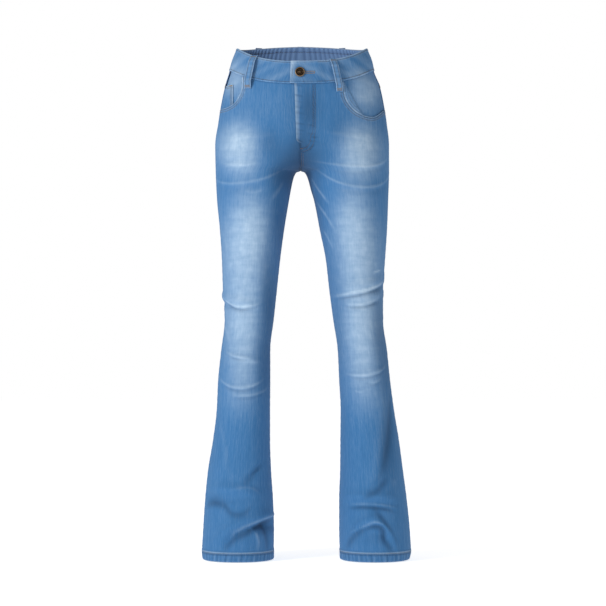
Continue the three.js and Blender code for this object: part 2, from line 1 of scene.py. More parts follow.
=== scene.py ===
# %% [markdown]
# # Flared jeans, filled out as if worn
# These are washed stretch jeans with a lapped fly, scooped front pockets and legs that flare to the
# hem. Nobody wears them, but they keep a worn shape, so every panel is a thin curved wall round a
# hollow. All sizes below are millimetres, as on a maker's pattern, and turn to metres in one place.

# %% Load the frame
import math

import bpy
import numpy as np
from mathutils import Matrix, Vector
from mathutils.bvhtree import BVHTree


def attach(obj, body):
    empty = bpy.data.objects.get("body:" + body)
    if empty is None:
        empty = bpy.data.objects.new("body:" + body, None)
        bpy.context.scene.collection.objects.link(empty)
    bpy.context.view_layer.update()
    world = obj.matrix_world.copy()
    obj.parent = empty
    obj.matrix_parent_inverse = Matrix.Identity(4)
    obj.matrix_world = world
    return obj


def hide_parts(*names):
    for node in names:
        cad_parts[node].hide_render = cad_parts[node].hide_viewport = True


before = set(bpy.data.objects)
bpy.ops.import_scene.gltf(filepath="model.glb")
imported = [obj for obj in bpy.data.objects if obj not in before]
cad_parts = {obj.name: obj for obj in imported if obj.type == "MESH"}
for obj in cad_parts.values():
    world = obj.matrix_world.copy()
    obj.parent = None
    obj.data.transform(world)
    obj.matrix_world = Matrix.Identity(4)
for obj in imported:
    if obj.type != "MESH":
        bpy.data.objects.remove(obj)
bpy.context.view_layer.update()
MM = 0.001
print("the frame has", len(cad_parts), "solids")

# %% [markdown]
# ## Camera
# The photo was taken straight from the front with a long lens, so that the waist and the hems show
# with almost no perspective. A camera 5.5 m away does the same. The photo's pixel size gives the
# width of the view, and the lens follows from it.

# %% Place the camera
PHOTO_PIXELS = 606
PIXEL = 2.02 * MM
CAMERA_DISTANCE = 5.5
VIEW_MIDDLE_X = 5 * MM
VIEW_MIDDLE_Z = -513 * MM

camera_data = bpy.data.cameras.new("photo_camera")
camera_data.sensor_width = 36.0
camera_data.lens = camera_data.sensor_width * CAMERA_DISTANCE / (PHOTO_PIXELS * PIXEL)
camera_data.clip_end = 40
camera = bpy.data.objects.new("photo_camera", camera_data)
camera.location = (VIEW_MIDDLE_X, -CAMERA_DISTANCE, VIEW_MIDDLE_Z)
camera.rotation_euler = (math.radians(90), 0, 0)
bpy.context.scene.collection.objects.link(camera)
bpy.context.scene.camera = camera
print("lens", round(camera_data.lens, 1), "mm")

# %% [markdown]
# ## The worn shape
# A pair of jeans is two tubes that join above the crotch. At each height a tube's section is a
# rounded oval, whose widths and depths come from two tables. A smooth curve through the rows of a
# table gives the sizes in between. An angle says where a point is round the leg: 0 at the inseam,
# 90 in front, 180 at the outseam and 270 behind.

# %% Tables of the outline
CROTCH = -246
HEM_TOP = -1009
HEM_BOTTOM = -1029
MEET = 0.3
SIDE = {"right": -1, "left": 1}


def table(names, *rows):
    """A small table as one array for each named column."""
    return dict(zip(names.split(), np.array(rows, float).T))


outline = table(
    "z right_out left_out front back",
    (30, 118, 124, 82, 88),
    (0, 128, 134, 88, 94),
    (-26, 138, 144, 93, 99),
    (-47, 144, 149, 96, 103),
    (-75, 152.5, 160.5, 101, 109),
    (-111, 160.5, 168.5, 105, 117),
    (-148, 166.5, 174.5, 108, 124),
    (-196, 172.5, 179, 108, 128),
    (-246, 171.5, 179, 106, 121),
    (-305, 168.5, 177, 103, 99),
    (-366, 162.5, 174.5, 98, 85),
    (-426, 158.5, 170.5, 92, 77),
    (-487, 156.5, 166.5, 84, 70),
    (-547, 153, 166.5, 76, 63),
    (-608, 160, 174.5, 68.5, 62),
    (-669, 166.5, 181, 64, 67),
    (-729, 169.5, 189, 63.5, 74),
    (-790, 177, 199, 66, 80),
    (-850, 187, 207, 70, 85),
    (-911, 193, 215, 75, 89),
    (-972, 197, 221, 79, 93),
    (-1012, 199, 223, 82, 95),
    (-1029, 197.5, 220, 81, 94),
)
inseams = table(
    "z right_in left_in",
    (-246, 0, 0),
    (-247, 5, 5),
    (-249, 8.5, 8),
    (-254, 11.5, 11.5),
    (-264, 15, 15.5),
    (-285, 19.5, 21),
    (-305, 23, 27),
    (-366, 33, 39),
    (-426, 41, 51),
    (-487, 47.5, 58),
    (-547, 54, 66),
    (-608, 61, 75),
    (-669, 61, 78),
    (-729, 61.5, 81),
    (-790, 61.5, 80.5),
    (-850, 59.5, 80),
    (-911, 55.5, 78),
    (-972, 53.5, 78),
    (-1029, 54.5, 80),
)


def mix(a, b, t):
    return a + (b - a) * t


def smooth(start, end, value):
    """0 before start and 1 after end, with an even turn between them."""
    t = np.clip((value - start) / (end - start), 0, 1)
    return t * t * (3 - 2 * t)


def bell(distance, wide):
    """1 in the middle of a soft ridge or dip, and nearly 0 two widths away."""
    return np.exp(-((distance / wide) ** 2))


def slopes(heights, values):
    """The slope at each row of a table that never lets the curve overshoot its rows."""
    steps = np.diff(values) / np.diff(heights)
    agree = steps[:-1] * steps[1:] > 0
    total = np.where(agree, steps[:-1] + steps[1:], 1)
    inner = np.where(agree, 2 * steps[:-1] * steps[1:] / total, 0)
    return np.concatenate([steps[:1], inner, steps[-1:]])


def read(source, column, z):
    """A table's column at any heights."""
    heights, values = source["z"], source[column]
    slope = slopes(heights, values)
    i = np.clip(np.searchsorted(-heights, -z) - 1, 0, len(heights) - 2)
    step = heights[i + 1] - heights[i]
    t = np.clip((z - heights[i]) / step, 0, 1)
    from_above = (2 * t**3 - 3 * t**2 + 1) * values[i] + (t**3 - 2 * t**2 + t) * step * slope[i]
    from_below = (3 * t**2 - 2 * t**3) * values[i + 1] + (t**3 - t**2) * step * slope[i + 1]
    return from_above + from_below


hip_width = sum(float(read(outline, side, np.array(-200.0))) for side in ("right_out", "left_out"))
print("hips", round(hip_width), "mm wide")

# %% [markdown]
# ### From a table to a section
# Below the crotch each leg closes round itself. Above it the inner half width grows until that
# side is flat, and the two halves meet in the middle.

# %% Sections of a leg and its half of the hips
BLEND_HEIGHT = 130
FRONT_CURVE = 4
BACK_CURVE = 2.2
FLAT_LIMIT = 4
APEX_EASE = 60
BODY_POWER = 2.35
LEG_POWER = 2.15
POWER_BLEND = 60


def section(leg, z, back):
    """Centre, inner and outer half widths, middle, depth and squareness at each height."""
    outer = read(outline, leg + "_out", z)
    front_deep = read(outline, "front", z)
    back_deep = read(outline, "back", z)
    inner = read(inseams, leg + "_in", z)
    power = mix(LEG_POWER, BODY_POWER, smooth(CROTCH - POWER_BLEND, CROTCH + POWER_BLEND, z))
    leg_centre = (outer + inner * smooth(0, APEX_EASE, CROTCH - z)) / 2
    t = np.clip((z - CROTCH) / BLEND_HEIGHT, 0, 1)
    hip_centre = outer / 2 * (1 - smooth(0, 1, t))
    widest = FLAT_LIMIT * outer
    joining = np.maximum(1 - t, 1e-4) ** np.where(back, BACK_CURVE, FRONT_CURVE)
    hip_in = np.minimum(hip_centre / joining, widest)
    is_leg = z <= CROTCH
    centre = np.where(is_leg, leg_centre, hip_centre)
    half_in = np.where(is_leg, leg_centre - inner, np.where(t < 1, hip_in, widest))
    middle, depth = (back_deep - front_deep) / 2, (back_deep + front_deep) / 2
    return centre, half_in, outer - centre, middle, depth, power


# %% [markdown]
# ## Folds
# Cloth that is too wide or too long for the space buckles into folds. Each large fold is one row:
# the angle and height of its middle, half its length, its width, how far it pushes the cloth out
# (or in, when negative), its tilt in degrees (rising to the outseam) and how much its ends droop.

# %% The largest folds
MM_PER_DEGREE = 1.2
FOLD_FADE = 80
FOLD_COLUMNS = "angle z reach wide push tilt bow"
large_folds = {
    "right": table(
        FOLD_COLUMNS,
        (130, -506, 58, 8, 2.5, 7, 0),
        (132, -520, 60, 6, -4, 7, 0),
        (95, -622, 50, 6, 2, 7, 0),
        (64, -851, 24, 6, -3, -35, 0),
        (94, -884, 48, 10, 4, 8, 4),
        (122, -906, 42, 8, -4, 0, -6),
        (76, -946, 66, 10, 5, -20, 15),
        (72, -964, 58, 9, -6, -20, 15),
        (30, -958, 26, 14, -4, 0, 0),
        (268, -566, 52, 8, -4, 5, 0),
        (250, -540, 40, 7, -3, -12, 4),
        (276, -930, 55, 10, 4, 10, 6),
        (262, -954, 50, 9, -5, 6, 4),
    ),
    "left": table(
        FOLD_COLUMNS,
        (105, -476, 60, 8, 2, 10, 0),
        (105, -489, 62, 6, -3.5, 10, 0),
        (118, -501, 45, 7, 2, 10, 0),
        (116, -513, 36, 6, -3, 9, 0),
        (94, -652, 45, 6, 2, 8, 0),
        (94, -875, 24, 6, -3, 50, 0),
        (82, -896, 50, 8, 3, 0, 3),
        (82, -911, 50, 7, -3.5, 0, 3),
        (86, -944, 46, 10, 5, -4, 46),
        (86, -970, 28, 14, -4.5, 0, 14),
        (272, -556, 50, 8, -4, -6, 0),
        (286, -534, 40, 7, -3, 10, 3),
        (262, -938, 52, 10, 4, -9, 7),
        (276, -962, 48, 9, -5, -7, 5),
    ),
}


def rows_of(source):
    """A table's rows, each as a small dictionary."""
    names = list(source)
    return [dict(zip(names, values)) for values in zip(*source.values())]


folds = {leg: rows_of(large_folds[leg]) for leg in SIDE}


def fold_shape(fold, angle, z):
    """How much of one fold reaches each point, from 0 to 1."""
    tilt = math.radians(fold["tilt"])
    around = (angle - fold["angle"]) * MM_PER_DEGREE
    rise = z - fold["z"]
    along = around * math.cos(tilt) + rise * math.sin(tilt)
    off = rise * math.cos(tilt) - around * math.sin(tilt) + fold["bow"] * (along / fold["reach"]) ** 2
    return np.exp(-((off / fold["wide"]) ** 2) - (along / fold["reach"]) ** 4)


def fold_sum(leg, angle, z, key):
    """The folds' pushes, or another of their values, added up at each point."""
    total = np.zeros(np.shape(angle))
    for fold in folds[leg]:
        near = np.abs(z - fold["z"]) < max(FOLD_FADE, 1.4 * fold["reach"])
        if fold.get(key, 0) and near.any():
            total[near] += fold[key] * fold_shape(fold, angle[near], z[near])
    return total


def uneven(place, pitch, turn=0.0):
    """A wave along a place in millimetres that never quite repeats, from -1 to 1."""
    phase = 2 * math.pi * np.asarray(place) / pitch
    slow = 0.6 * np.sin(0.618 * phase + 2.1 * turn + 1.3)
    fast = 0.4 * np.sin(1.73 * phase + 0.7 * turn + 4.0)
    return (np.sin(phase + turn) + slow + fast) / 2


# %% [markdown]
# ### Points on the cloth
# Every piece asks the same function for its points, so pieces that touch fit each other. Its
# normal says which way is out, and a piece that lies on top of another is only moved that way.

# %% Points and normals of the outer face
SAG = 0.5


def loose(angle, z, x):
    """Cloth is never quite smooth: a shallow unevenness that dies out at the seams."""
    across = uneven(MM_PER_DEGREE * angle + 0.2 * z, 75, 0.4)
    down = uneven(z - 0.3 * angle, 110, 2.0)
    return SAG * across * down * np.abs(np.sin(np.radians(angle))) * smooth(2, 30, x)


def face(leg, angle, z, with_folds=True):
    """Points of the cloth's outer face at angles round a leg and heights."""
    angle, z = np.broadcast_arrays(np.asarray(angle, float), np.asarray(z, float))
    centre, half_in, half_out, middle, depth, power = section(leg, z, angle > 180)
    c, s = np.cos(np.radians(angle)), np.sin(np.radians(angle))
    dx = -np.where(c > 0, half_in, half_out) * np.sign(c) * np.abs(c) ** (2 / power)
    dy = -depth * np.sign(s) * np.abs(s) ** (2 / power)
    push = fold_sum(leg, angle, z, "push") + loose(angle, z, centre + dx) if with_folds else 0
    grow = 1 + push / np.hypot(dx, dy)
    return np.stack([SIDE[leg] * (centre + dx * grow), middle + dy * grow, z], -1)


def face_normal(leg, angle, z):
    angle, z = np.asarray(angle, float), np.asarray(z, float)
    around = face(leg, angle + 1, z) - face(leg, angle - 1, z)
    upward = face(leg, angle, z + 1) - face(leg, angle, z - 1)
    normal = np.cross(around, upward) * SIDE[leg]
    return normal / np.linalg.norm(normal, axis=-1, keepdims=True)


def angle_at(leg, x, z, back):
    """The angle whose point lies x outward from the middle, on the front or the back."""
    x, z = np.broadcast_arrays(np.asarray(x, float), np.asarray(z, float))
    centre, half_in, half_out, _, _, power = section(leg, z, back)
    ratio = np.where(x < centre, (centre - x) / half_in, (x - centre) / half_out)
    c = np.clip(ratio, 0, 1) ** (power / 2)
    angle = np.degrees(np.arccos(np.where(x < centre, c, -c)))
    return 360 - angle if back else angle


# %% [markdown]
# ## Creases
# Small creases are listed too. A crease is a shallow arc, so each is given by three spots that it
# runs through, as seen from the front or from behind, with its width, its push and its worn value: a
# positive one is how much wear has rubbed the dye off its crest, and a negative one darkens its
# trough with painted shade. Three spots are easier to place than an angle and a tilt, and a small
# function turns them into a fold of the kind above.

# %% Small creases
# A negative worn value paints shade into the crease's trough.
CREASE_COLUMNS = "x1 z1 x2 z2 x3 z3 wide push worn"
front_creases = {
    "right": table(
        CREASE_COLUMNS,
        (166, -268, 112, -274, 42, -252, 2.8, 0.8, 0.32),
        (164, -279, 112, -284, 52, -268, 5, -0.9, 0),
        (36, -274, 44, -288, 58, -308, 4, 0.8, 0.3),
        (150, -236, 118, -240, 94, -238, 3.4, 0.5, 0.3),
        (150, -226, 120, -229, 90, -226, 4, -0.5, 0),
        (106, -292, 92, -294, 76, -288, 3, 0.4, 0.2),
        (130, -176, 100, -184, 60, -180, 4.5, 0.5, 0.15),
        (149, -508, 120, -521, 90, -517, 3, 2.0, 0.6),
        (148, -514, 119, -526, 91, -522, 2.6, -1.8, -0.5),
        (155, -486, 157, -494, 152, -504, 6, 1.6, 0.1),
        (152, -560, 146, -575, 140, -600, 5, 0.6, 0.15),
        (145, -613, 118, -622, 104, -623, 3, 1.2, 0.4),
        (143, -618, 118, -627, 104, -628, 2.6, -1.1, -0.35),
        (112, -628, 98, -630, 84, -631, 3, 0.7, 0.25),
        (160, -667, 125, -682, 82, -672, 3.2, 1.3, 0.5),
        (156, -673, 125, -688, 84, -678, 2.8, -1.2, -0.35),
        (127, -698, 110, -699, 70, -687, 3, 1.0, 0.35),
        (125, -703, 108, -704, 74, -693, 2.8, -0.8, -0.25),
        (160, -758, 152, -800, 148, -850, 6, 0.9, 0.1),
        (150, -770, 142, -812, 139, -856, 6, -0.7, 0),
        (78, -834, 90, -852, 108, -872, 7, -2.4, -0.5),
        (76, -826, 90, -842, 104, -858, 6, 1.0, 0.1),
        (130, -884, 112, -880, 88, -888, 3.2, 0.8, 0.2),
        (188, -918, 168, -914, 148, -919, 7, -1.8, -0.5),
        (150, -919, 126, -935, 100, -924, 7, -1.8, -0.5),
        (52, -939, 84, -948, 112, -959, 3, 2.0, 0.45),
        (112, -961, 132, -973, 146, -990, 3, 1.2, 0.35),
        (58, -949, 84, -960, 108, -972, 6, -2.6, -0.9),
        (110, -972, 134, -984, 150, -1002, 7, -2.2, -0.6),
        (98, -962, 86, -980, 84, -1000, 3.2, 1.4, 0.35),
        (74, -958, 68, -980, 66, -1002, 7, -2.0, -0.55),
    ),
    "left": table(
        CREASE_COLUMNS,
        (52, -236, 110, -243, 168, -230, 2.8, 0.8, 0.4),
        (54, -246, 110, -252, 166, -240, 4.5, -0.7, 0),
        (37, -251, 110, -282, 174, -264, 2.8, 0.9, 0.38),
        (40, -262, 110, -292, 172, -275, 5, -0.9, 0),
        (26, -270, 38, -290, 52, -309, 3, 1.0, 0.5),
        (35, -314, 52, -341, 64, -361, 3, 0.9, 0.45),
        (47, -370, 56, -385, 62, -398, 3, 0.7, 0.35),
        (32, -285, 46, -325, 58, -366, 6, -1.0, 0),
        (60, -176, 100, -182, 140, -178, 4.5, 0.5, 0.15),
        (78, -498, 120, -490, 161, -475, 3.2, 2.4, 0.95),
        (80, -504, 120, -497, 160, -482, 2.6, -2.0, -0.5),
        (97, -516, 118, -516, 150, -507, 3, 1.5, 0.45),
        (98, -521, 118, -522, 150, -513, 2.6, -1.5, -0.4),
        (168, -452, 170, -462, 166, -474, 6, 1.6, 0),
        (164, -484, 168, -492, 164, -504, 5, 1.2, 0),
        (145, -452, 152, -450, 159, -448, 1.8, 0.5, 0.8),
        (170, -545, 150, -560, 140, -585, 6, 0.6, 0),
        (103, -657, 122, -659, 167, -643, 3, 1.2, 0.45),
        (104, -662, 124, -664, 166, -649, 2.6, -1.0, -0.3),
        (142, -673, 150, -671, 159, -666, 2.6, 0.7, 0.35),
        (109, -688, 116, -690, 124, -690, 2.6, 0.6, 0.3),
        (138, -676, 148, -676, 160, -671, 2.4, -0.5, -0.2),
        (166, -700, 162, -780, 150, -856, 12, 2.6, 0.15),
        (180, -706, 177, -780, 164, -858, 11, -3.0, -0.42),
        (132, -900, 150, -889, 172, -868, 7, -2.6, -0.6),
        (160, -884, 176, -876, 190, -868, 8, 1.0, 0.1),
        (103, -916, 130, -914, 180, -919, 2.6, 1.3, 0.3),
        (103, -922, 130, -920, 180, -926, 4, -2.2, -0.7),
        (150, -924, 160, -938, 178, -966, 6, -2.4, -0.55),
        (104, -970, 128, -958, 148, -949, 2.8, 1.4, 0.35),
        (148, -949, 162, -953, 174, -968, 2.8, 1.6, 0.45),
        (94, -1000, 106, -980, 124, -965, 7, -2.2, -0.6),
        (134, -962, 154, -958, 168, -982, 6, -3.0, -0.85),
        (162, -976, 173, -992, 182, -1006, 6, -2.2, -0.55),
    ),
}
back_creases = {
    "right": table(
        CREASE_COLUMNS,
        (20, -262, 80, -282, 150, -268, 4, 1.0, 0.3),
        (22, -274, 80, -294, 148, -280, 5, -1.0, 0),
        (40, -318, 90, -330, 140, -312, 4, 0.8, 0.2),
        (62, -540, 104, -552, 148, -536, 3.4, 1.6, 0.3),
        (64, -548, 104, -560, 146, -545, 3, -1.5, -0.3),
        (66, -574, 104, -566, 140, -578, 4, 1.2, 0.2),
        (68, -582, 104, -575, 138, -586, 3.4, -1.2, -0.2),
        (70, -612, 110, -620, 150, -606, 4, 0.8, 0.1),
        (66, -860, 96, -872, 130, -868, 6, 1.2, 0.1),
        (66, -905, 110, -916, 160, -900, 4, 1.2, 0.15),
        (66, -913, 110, -925, 160, -909, 4, -1.4, -0.3),
        (72, -966, 110, -948, 150, -972, 4, 1.4, 0.2),
        (76, -980, 110, -960, 146, -986, 5, -1.6, -0.35),
    ),
    "left": table(
        CREASE_COLUMNS,
        (24, -258, 86, -280, 156, -270, 4, 1.0, 0.3),
        (26, -270, 86, -292, 154, -282, 5, -1.0, 0),
        (50, -322, 96, -330, 146, -320, 4, 0.7, 0.2),
        (72, -536, 112, -528, 158, -544, 3.4, 1.6, 0.3),
        (74, -544, 112, -537, 156, -552, 3, -1.5, -0.3),
        (78, -566, 116, -574, 156, -564, 4, 1.2, 0.2),
        (80, -574, 116, -583, 154, -573, 3.4, -1.1, -0.2),
        (86, -604, 120, -600, 160, -610, 4, 0.8, 0.1),
        (96, -850, 130, -862, 168, -856, 6, 1.2, 0.1),
        (92, -896, 132, -908, 184, -894, 4, 1.2, 0.15),
        (92, -904, 132, -917, 184, -903, 4, -1.4, -0.3),
        (96, -972, 132, -950, 176, -968, 4, 1.4, 0.2),
        (100, -984, 132, -962, 172, -980, 5, -1.6, -0.35),
    ),
}
CREASE_SPREAD = 1.12


def crease_to_fold(leg, row, back):
    """The fold that runs through a crease's three spots."""
    z = np.array([row["z1"], row["z2"], row["z3"]])
    x = np.array([row["x1"], row["x2"], row["x3"]])
    around = angle_at(leg, x, z, back) * MM_PER_DEGREE
    order = np.argsort(around[[0, 2]])
    first, last = np.array([0, 2])[order]
    run, climb = around[last] - around[first], z[last] - z[first]
    half = math.hypot(run, climb) / 2
    tilt = math.atan2(climb, run)
    middle = np.array([around[first] + run / 2, z[first] + climb / 2])
    offset = np.array([around[1], z[1]]) - middle
    high = -offset[0] * math.sin(tilt) + offset[1] * math.cos(tilt)
    centre = middle + high * np.array([-math.sin(tilt), math.cos(tilt)])
    fold = {"angle": centre[0] / MM_PER_DEGREE, "z": centre[1], "reach": half * CREASE_SPREAD}
    fold.update(wide=row["wide"], push=row["push"], worn=row["worn"], tilt=math.degrees(tilt))
    fold["bow"] = high * CREASE_SPREAD**2
    return fold


for leg in SIDE:
    for source, back in ((front_creases, False), (back_creases, True)):
        folds[leg] += [crease_to_fold(leg, row, back) for row in rows_of(source[leg])]
print("creases and folds", {leg: len(folds[leg]) for leg in SIDE})

# %% [markdown]
# ## Lines of the pattern
# The waistband dips in front, the yoke dips in the middle of the back, and the left front reaches
# past the middle to cover the zip. These lines say where one piece ends and the next begins.

# %% Waist, yoke and fly lines
WAIST_DROP = 33
WAIST_RISE = 12
FRONT_DROP_POWER = 2.6
BAND_DEEP = 44
YOKE_SIDE = 35
YOKE_MIDDLE = 70
ROWS_LEVEL_BELOW = -192
FLY_TOP = -12
FLY_LOW = -8
FLY_END = -190
FLY_JOINED = -198
FLY_LIFT = 1.9
FLY_FLAT = (31, 52)


def waist_line(angle):
    """Height of the waistband's top at an angle round the waist."""
    ratio = np.abs(np.cos(np.radians(angle))) ** (2 / BODY_POWER)
    in_front = -WAIST_DROP * (1 - ratio**FRONT_DROP_POWER)
    return np.where(angle <= 180, in_front, WAIST_RISE * (1 - ratio**2))


def band_seam(angle):
    return waist_line(angle) - BAND_DEEP


def yoke_seam(angle):
    return band_seam(angle) - mix(YOKE_MIDDLE, YOKE_SIDE, np.abs(np.cos(np.radians(angle))))


def fly_edge(z):
    """How far past the middle the left front's edge lies, as a signed x."""
    t = np.clip((z - FLY_END) / (-BAND_DEEP - WAIST_DROP - FLY_END), 0, 1)
    return mix(0, mix(FLY_LOW, FLY_TOP, t), smooth(FLY_JOINED, FLY_END, z))


def fly_raise(x, z):
    upper = smooth(FLY_JOINED - 16, FLY_JOINED - 2, z)
    return FLY_LIFT * (1 - smooth(*FLY_FLAT, x)) * upper


# %% [markdown]
# ## Where the dye has gone, and painted shade
# Denim is dyed only on the outside of its blue yarns, so rubbing and washing bring out white. The
# fades on the hips, thighs and knees are soft ovals. The dark ovals are partly dye that stays at the
# crotch and the seams, and partly painted shade: in the crotch, on the inner thighs, down the shaded
# sides of the legs and under large folds. Each point of the cloth stores two numbers, faded and dark,
# which the material reads. Painting them from a short table keeps them free of any picture.

# %% Fades, and dark places with painted shade
FADE_COLUMNS = "x z wide high amount"
front_fades = table(
    FADE_COLUMNS,
    (-124, -200, 36, 44, 0.85),
    (-112, -238, 30, 30, 0.3),
    (120, -206, 36, 46, 0.8),
    (112, -240, 34, 30, 0.3),
    (-102, -360, 36, 60, 0.62),
    (-112, -430, 44, 92, 0.62),
    (104, -350, 34, 60, 0.55),
    (116, -430, 40, 92, 0.66),
    (-116, -548, 34, 70, 0.62),
    (122, -550, 36, 76, 0.66),
    (-116, -636, 30, 60, 0.42),
    (128, -636, 32, 60, 0.45),
    (-120, -700, 34, 50, 0.14),
    (134, -700, 34, 50, 0.16),
    (-136, -66, 26, 34, 0.45),
    (132, -92, 30, 34, 0.6),
    (112, -58, 24, 12, 0.2),
    (-60, -120, 60, 40, 0.06),
)
# Dark ovals in front: the crotch and seams keep some dye, and painted shade darkens the crotch, the inner
# thighs, the shaded sides of the legs and the places under large folds.
front_dark_dye_and_shade = table(
    FADE_COLUMNS,
    (0, -232, 46, 40, 0.85),
    (0, -150, 30, 80, 0.25),
    (-34, -262, 26, 30, 0.5),
    (17, -130, 15, 52, 0.5),
    (0, -206, 14, 30, 0.4),
    (-60, -196, 18, 30, 0.25),
    (70, -168, 20, 30, 0.15),
    (30, -330, 14, 60, 0.3),
    (-42, -350, 16, 80, 0.35),
    (-62, -520, 16, 90, 0.45),
    (-72, -640, 18, 70, 0.35),
    (160, -560, 16, 80, 0.4),
    (76, -560, 14, 90, 0.15),
    (174, -640, 18, 60, 0.35),
    (172, -800, 20, 90, 0.4),
    (168, -100, 14, 60, 0.25),
    (-170, -905, 16, 12, 0.25),
    (-76, -966, 22, 12, 0.3),
)
back_fades = table(
    FADE_COLUMNS,
    (-88, -210, 44, 50, 0.55),
    (88, -212, 44, 50, 0.55),
    (-100, -400, 44, 110, 0.35),
    (108, -400, 44, 110, 0.35),
    (-112, -640, 34, 90, 0.22),
    (126, -640, 34, 90, 0.22),
)
# Dark ovals behind: painted shade at the foot of the seat seam, under the seat and behind the knees.
back_dark_dye_and_shade = table(
    FADE_COLUMNS,
    (0, -230, 24, 50, 0.6),
    (-60, -270, 60, 14, 0.3),
    (60, -270, 60, 14, 0.3),
    (-104, -556, 40, 40, 0.2),
    (116, -556, 40, 40, 0.2),
)
FADE_EDGE = 1.1


def ovals(source, x, z):
    """Soft ovals laid over each other, each covering its share of what is left."""
    left_over = np.ones(np.shape(x))
    for row in rows_of(source):
        far = ((x - row["x"]) / row["wide"]) ** 2 + ((z - row["z"]) / row["high"]) ** 2
        left_over = left_over * (1 - row["amount"] * np.exp(-(far**FADE_EDGE)))
    return 1 - left_over


ROPE_PLACE = 6
ROPE_WIDE = 5
ROPE_LEAN = 0.5
ROPES_BEGIN = (-300, -420)
OUTSEAM_ROPE = 15
INSEAM_ROPE = 14
UNFADED_SEAM = 34


def seam_distances(leg, angle, z):
    """Distances across the cloth to the outseam and to the inseam."""
    across = from_outseam(leg, angle, z)
    start = np.where(angle <= 180, 0.0, 360.0)
    return np.abs(across), np.abs(across - from_outseam(leg, start, z))


def roping(leg, angle, z):
    """Seams shrink more than the cloth beside them, which puckers it into short slanted ropes."""
    to_out, to_in = seam_distances(leg, angle, z)
    lean = np.where(angle <= 180, ROPE_LEAN, -ROPE_LEAN)
    outer = bell(to_out - ROPE_PLACE, ROPE_WIDE) * uneven(z + lean * to_out, OUTSEAM_ROPE, 0.3)
    inner = bell(to_in - ROPE_PLACE, ROPE_WIDE) * uneven(z - lean * to_in, INSEAM_ROPE, 2.2)
    return (outer + inner) * smooth(*ROPES_BEGIN, z) * (0.7 + 0.3 * uneven(z, 90, 1.0))


def dye_and_painted_shade(leg, angle, z):
    """The faded and dark numbers at each point, with the wear along creases and seams and painted shade in
    their troughs.
    """
    x = face(leg, angle, z, with_folds=False)[..., 0]
    in_front = angle <= 180
    faded = np.where(in_front, ovals(front_fades, x, z), ovals(back_fades, x, z))
    dark = np.where(in_front, ovals(front_dark_dye_and_shade, x, z), ovals(back_dark_dye_and_shade, x, z))
    worn = fold_sum(leg, angle, z, "worn")
    ropes = roping(leg, angle, z)
    faded = faded * smooth(0, UNFADED_SEAM, seam_distances(leg, angle, z)[0]) * (1 - 0.5 * dark)
    # Wear rubs the crests of creases and seam ropes pale. Their troughs are darkened: creases with painted
    # shade, ropes partly with kept dye and partly with painted shade.
    faded = faded + 0.6 * np.maximum(worn, 0) + 0.25 * np.maximum(ropes, 0)
    dark = dark + 0.8 * np.maximum(-worn, 0) + 0.5 * np.maximum(-ropes, 0)
    return np.clip(faded, 0, 1), np.clip(dark, 0, 1)


# %% [markdown]
# ## Cloth walls
# A panel is cut from a flat sheet about 1 mm thick. Here each panel is a grid of points on the worn
# shape with a second grid a cloth's thickness behind it, and a rounded rim round the edge. The
# alternative is a single sheet with a Solidify modifier, but building both faces keeps the rim
# under control. Each point also carries its place on the flat cloth, so that the weave runs along
# the leg at its real scale.
#
# ### Places on the flat cloth
# A pattern maker unrolls a leg by measuring round it. The same is done here once for a grid of
# angles and heights, and points in between are read from that grid.

# %% Place on the flat cloth
ARC_STEP = 3.0
ARC_ROW = 10.0
ARC_ANGLES = np.arange(0, 361, ARC_STEP)
ARC_HEIGHTS = np.arange(20, -1041, -ARC_ROW)


def arc_lengths(leg):
    """Distance round the leg from the outseam, for a grid of heights and angles."""
    points = face(leg, ARC_ANGLES[None, :], ARC_HEIGHTS[:, None], with_folds=False)
    steps = np.linalg.norm(np.diff(points, axis=1), axis=-1)
    lengths = np.concatenate([np.zeros((len(steps), 1)), np.cumsum(steps, axis=1)], axis=1)
    outseam = np.searchsorted(ARC_ANGLES, 180)
    return lengths - lengths[:, outseam : outseam + 1]


arcs = {leg: arc_lengths(leg) for leg in SIDE}


def from_outseam(leg, angle, z):
    """Distance across the cloth from the outseam, forwards or backwards."""
    angle, z = np.broadcast_arrays(np.asarray(angle, float), np.asarray(z, float))
    column = np.clip(angle / ARC_STEP, 0, len(ARC_ANGLES) - 1.001)
    row = np.clip((ARC_HEIGHTS[0] - z) / ARC_ROW, 0, len(ARC_HEIGHTS) - 1.001)
    c, r = column.astype(int), row.astype(int)
    u, v = column - c, row - r
    lengths = arcs[leg]
    upper = mix(lengths[r, c], lengths[r, c + 1], u)
    lower = mix(lengths[r + 1, c], lengths[r + 1, c + 1], u)
    return mix(upper, lower, v)


def grain_places(leg, back):
    """How far the grain line, which runs down the middle of the leg, lies from the outseam."""
    heights = ARC_HEIGHTS.astype(float)
    low = np.minimum(heights, CROTCH)
    middle = (read(outline, leg + "_out", low) + read(inseams, leg + "_in", low)) / 2
    return from_outseam(leg, angle_at(leg, middle, heights, back), heights)


grain = {leg: [grain_places(leg, back) for back in (False, True)] for leg in SIDE}


def cloth_place(leg, angle, z):
    """Where points lie on the flat cloth: across from the grain line, and down."""
    angle, z = np.broadcast_arrays(np.asarray(angle, float), np.asarray(z, float))
    line = np.interp(-z, -ARC_HEIGHTS, grain[leg][int(np.mean(angle) > 180)])
    return np.stack([from_outseam(leg, angle, z) - line, z], -1)


print("left thigh", round(float(np.ptp(arcs["left"][30]))), "mm round")

# %% [markdown]
# ### From a grid to a closed wall
# Each small square of the grid becomes one face in front and one behind. The rim between them has
# a middle line that stands out a little, which rounds the cut edge.

# %% Build a wall from a grid
SHARP_TURN = math.radians(52)


def unit(vectors):
    return vectors / np.maximum(np.linalg.norm(vectors, axis=-1, keepdims=True), 1e-9)


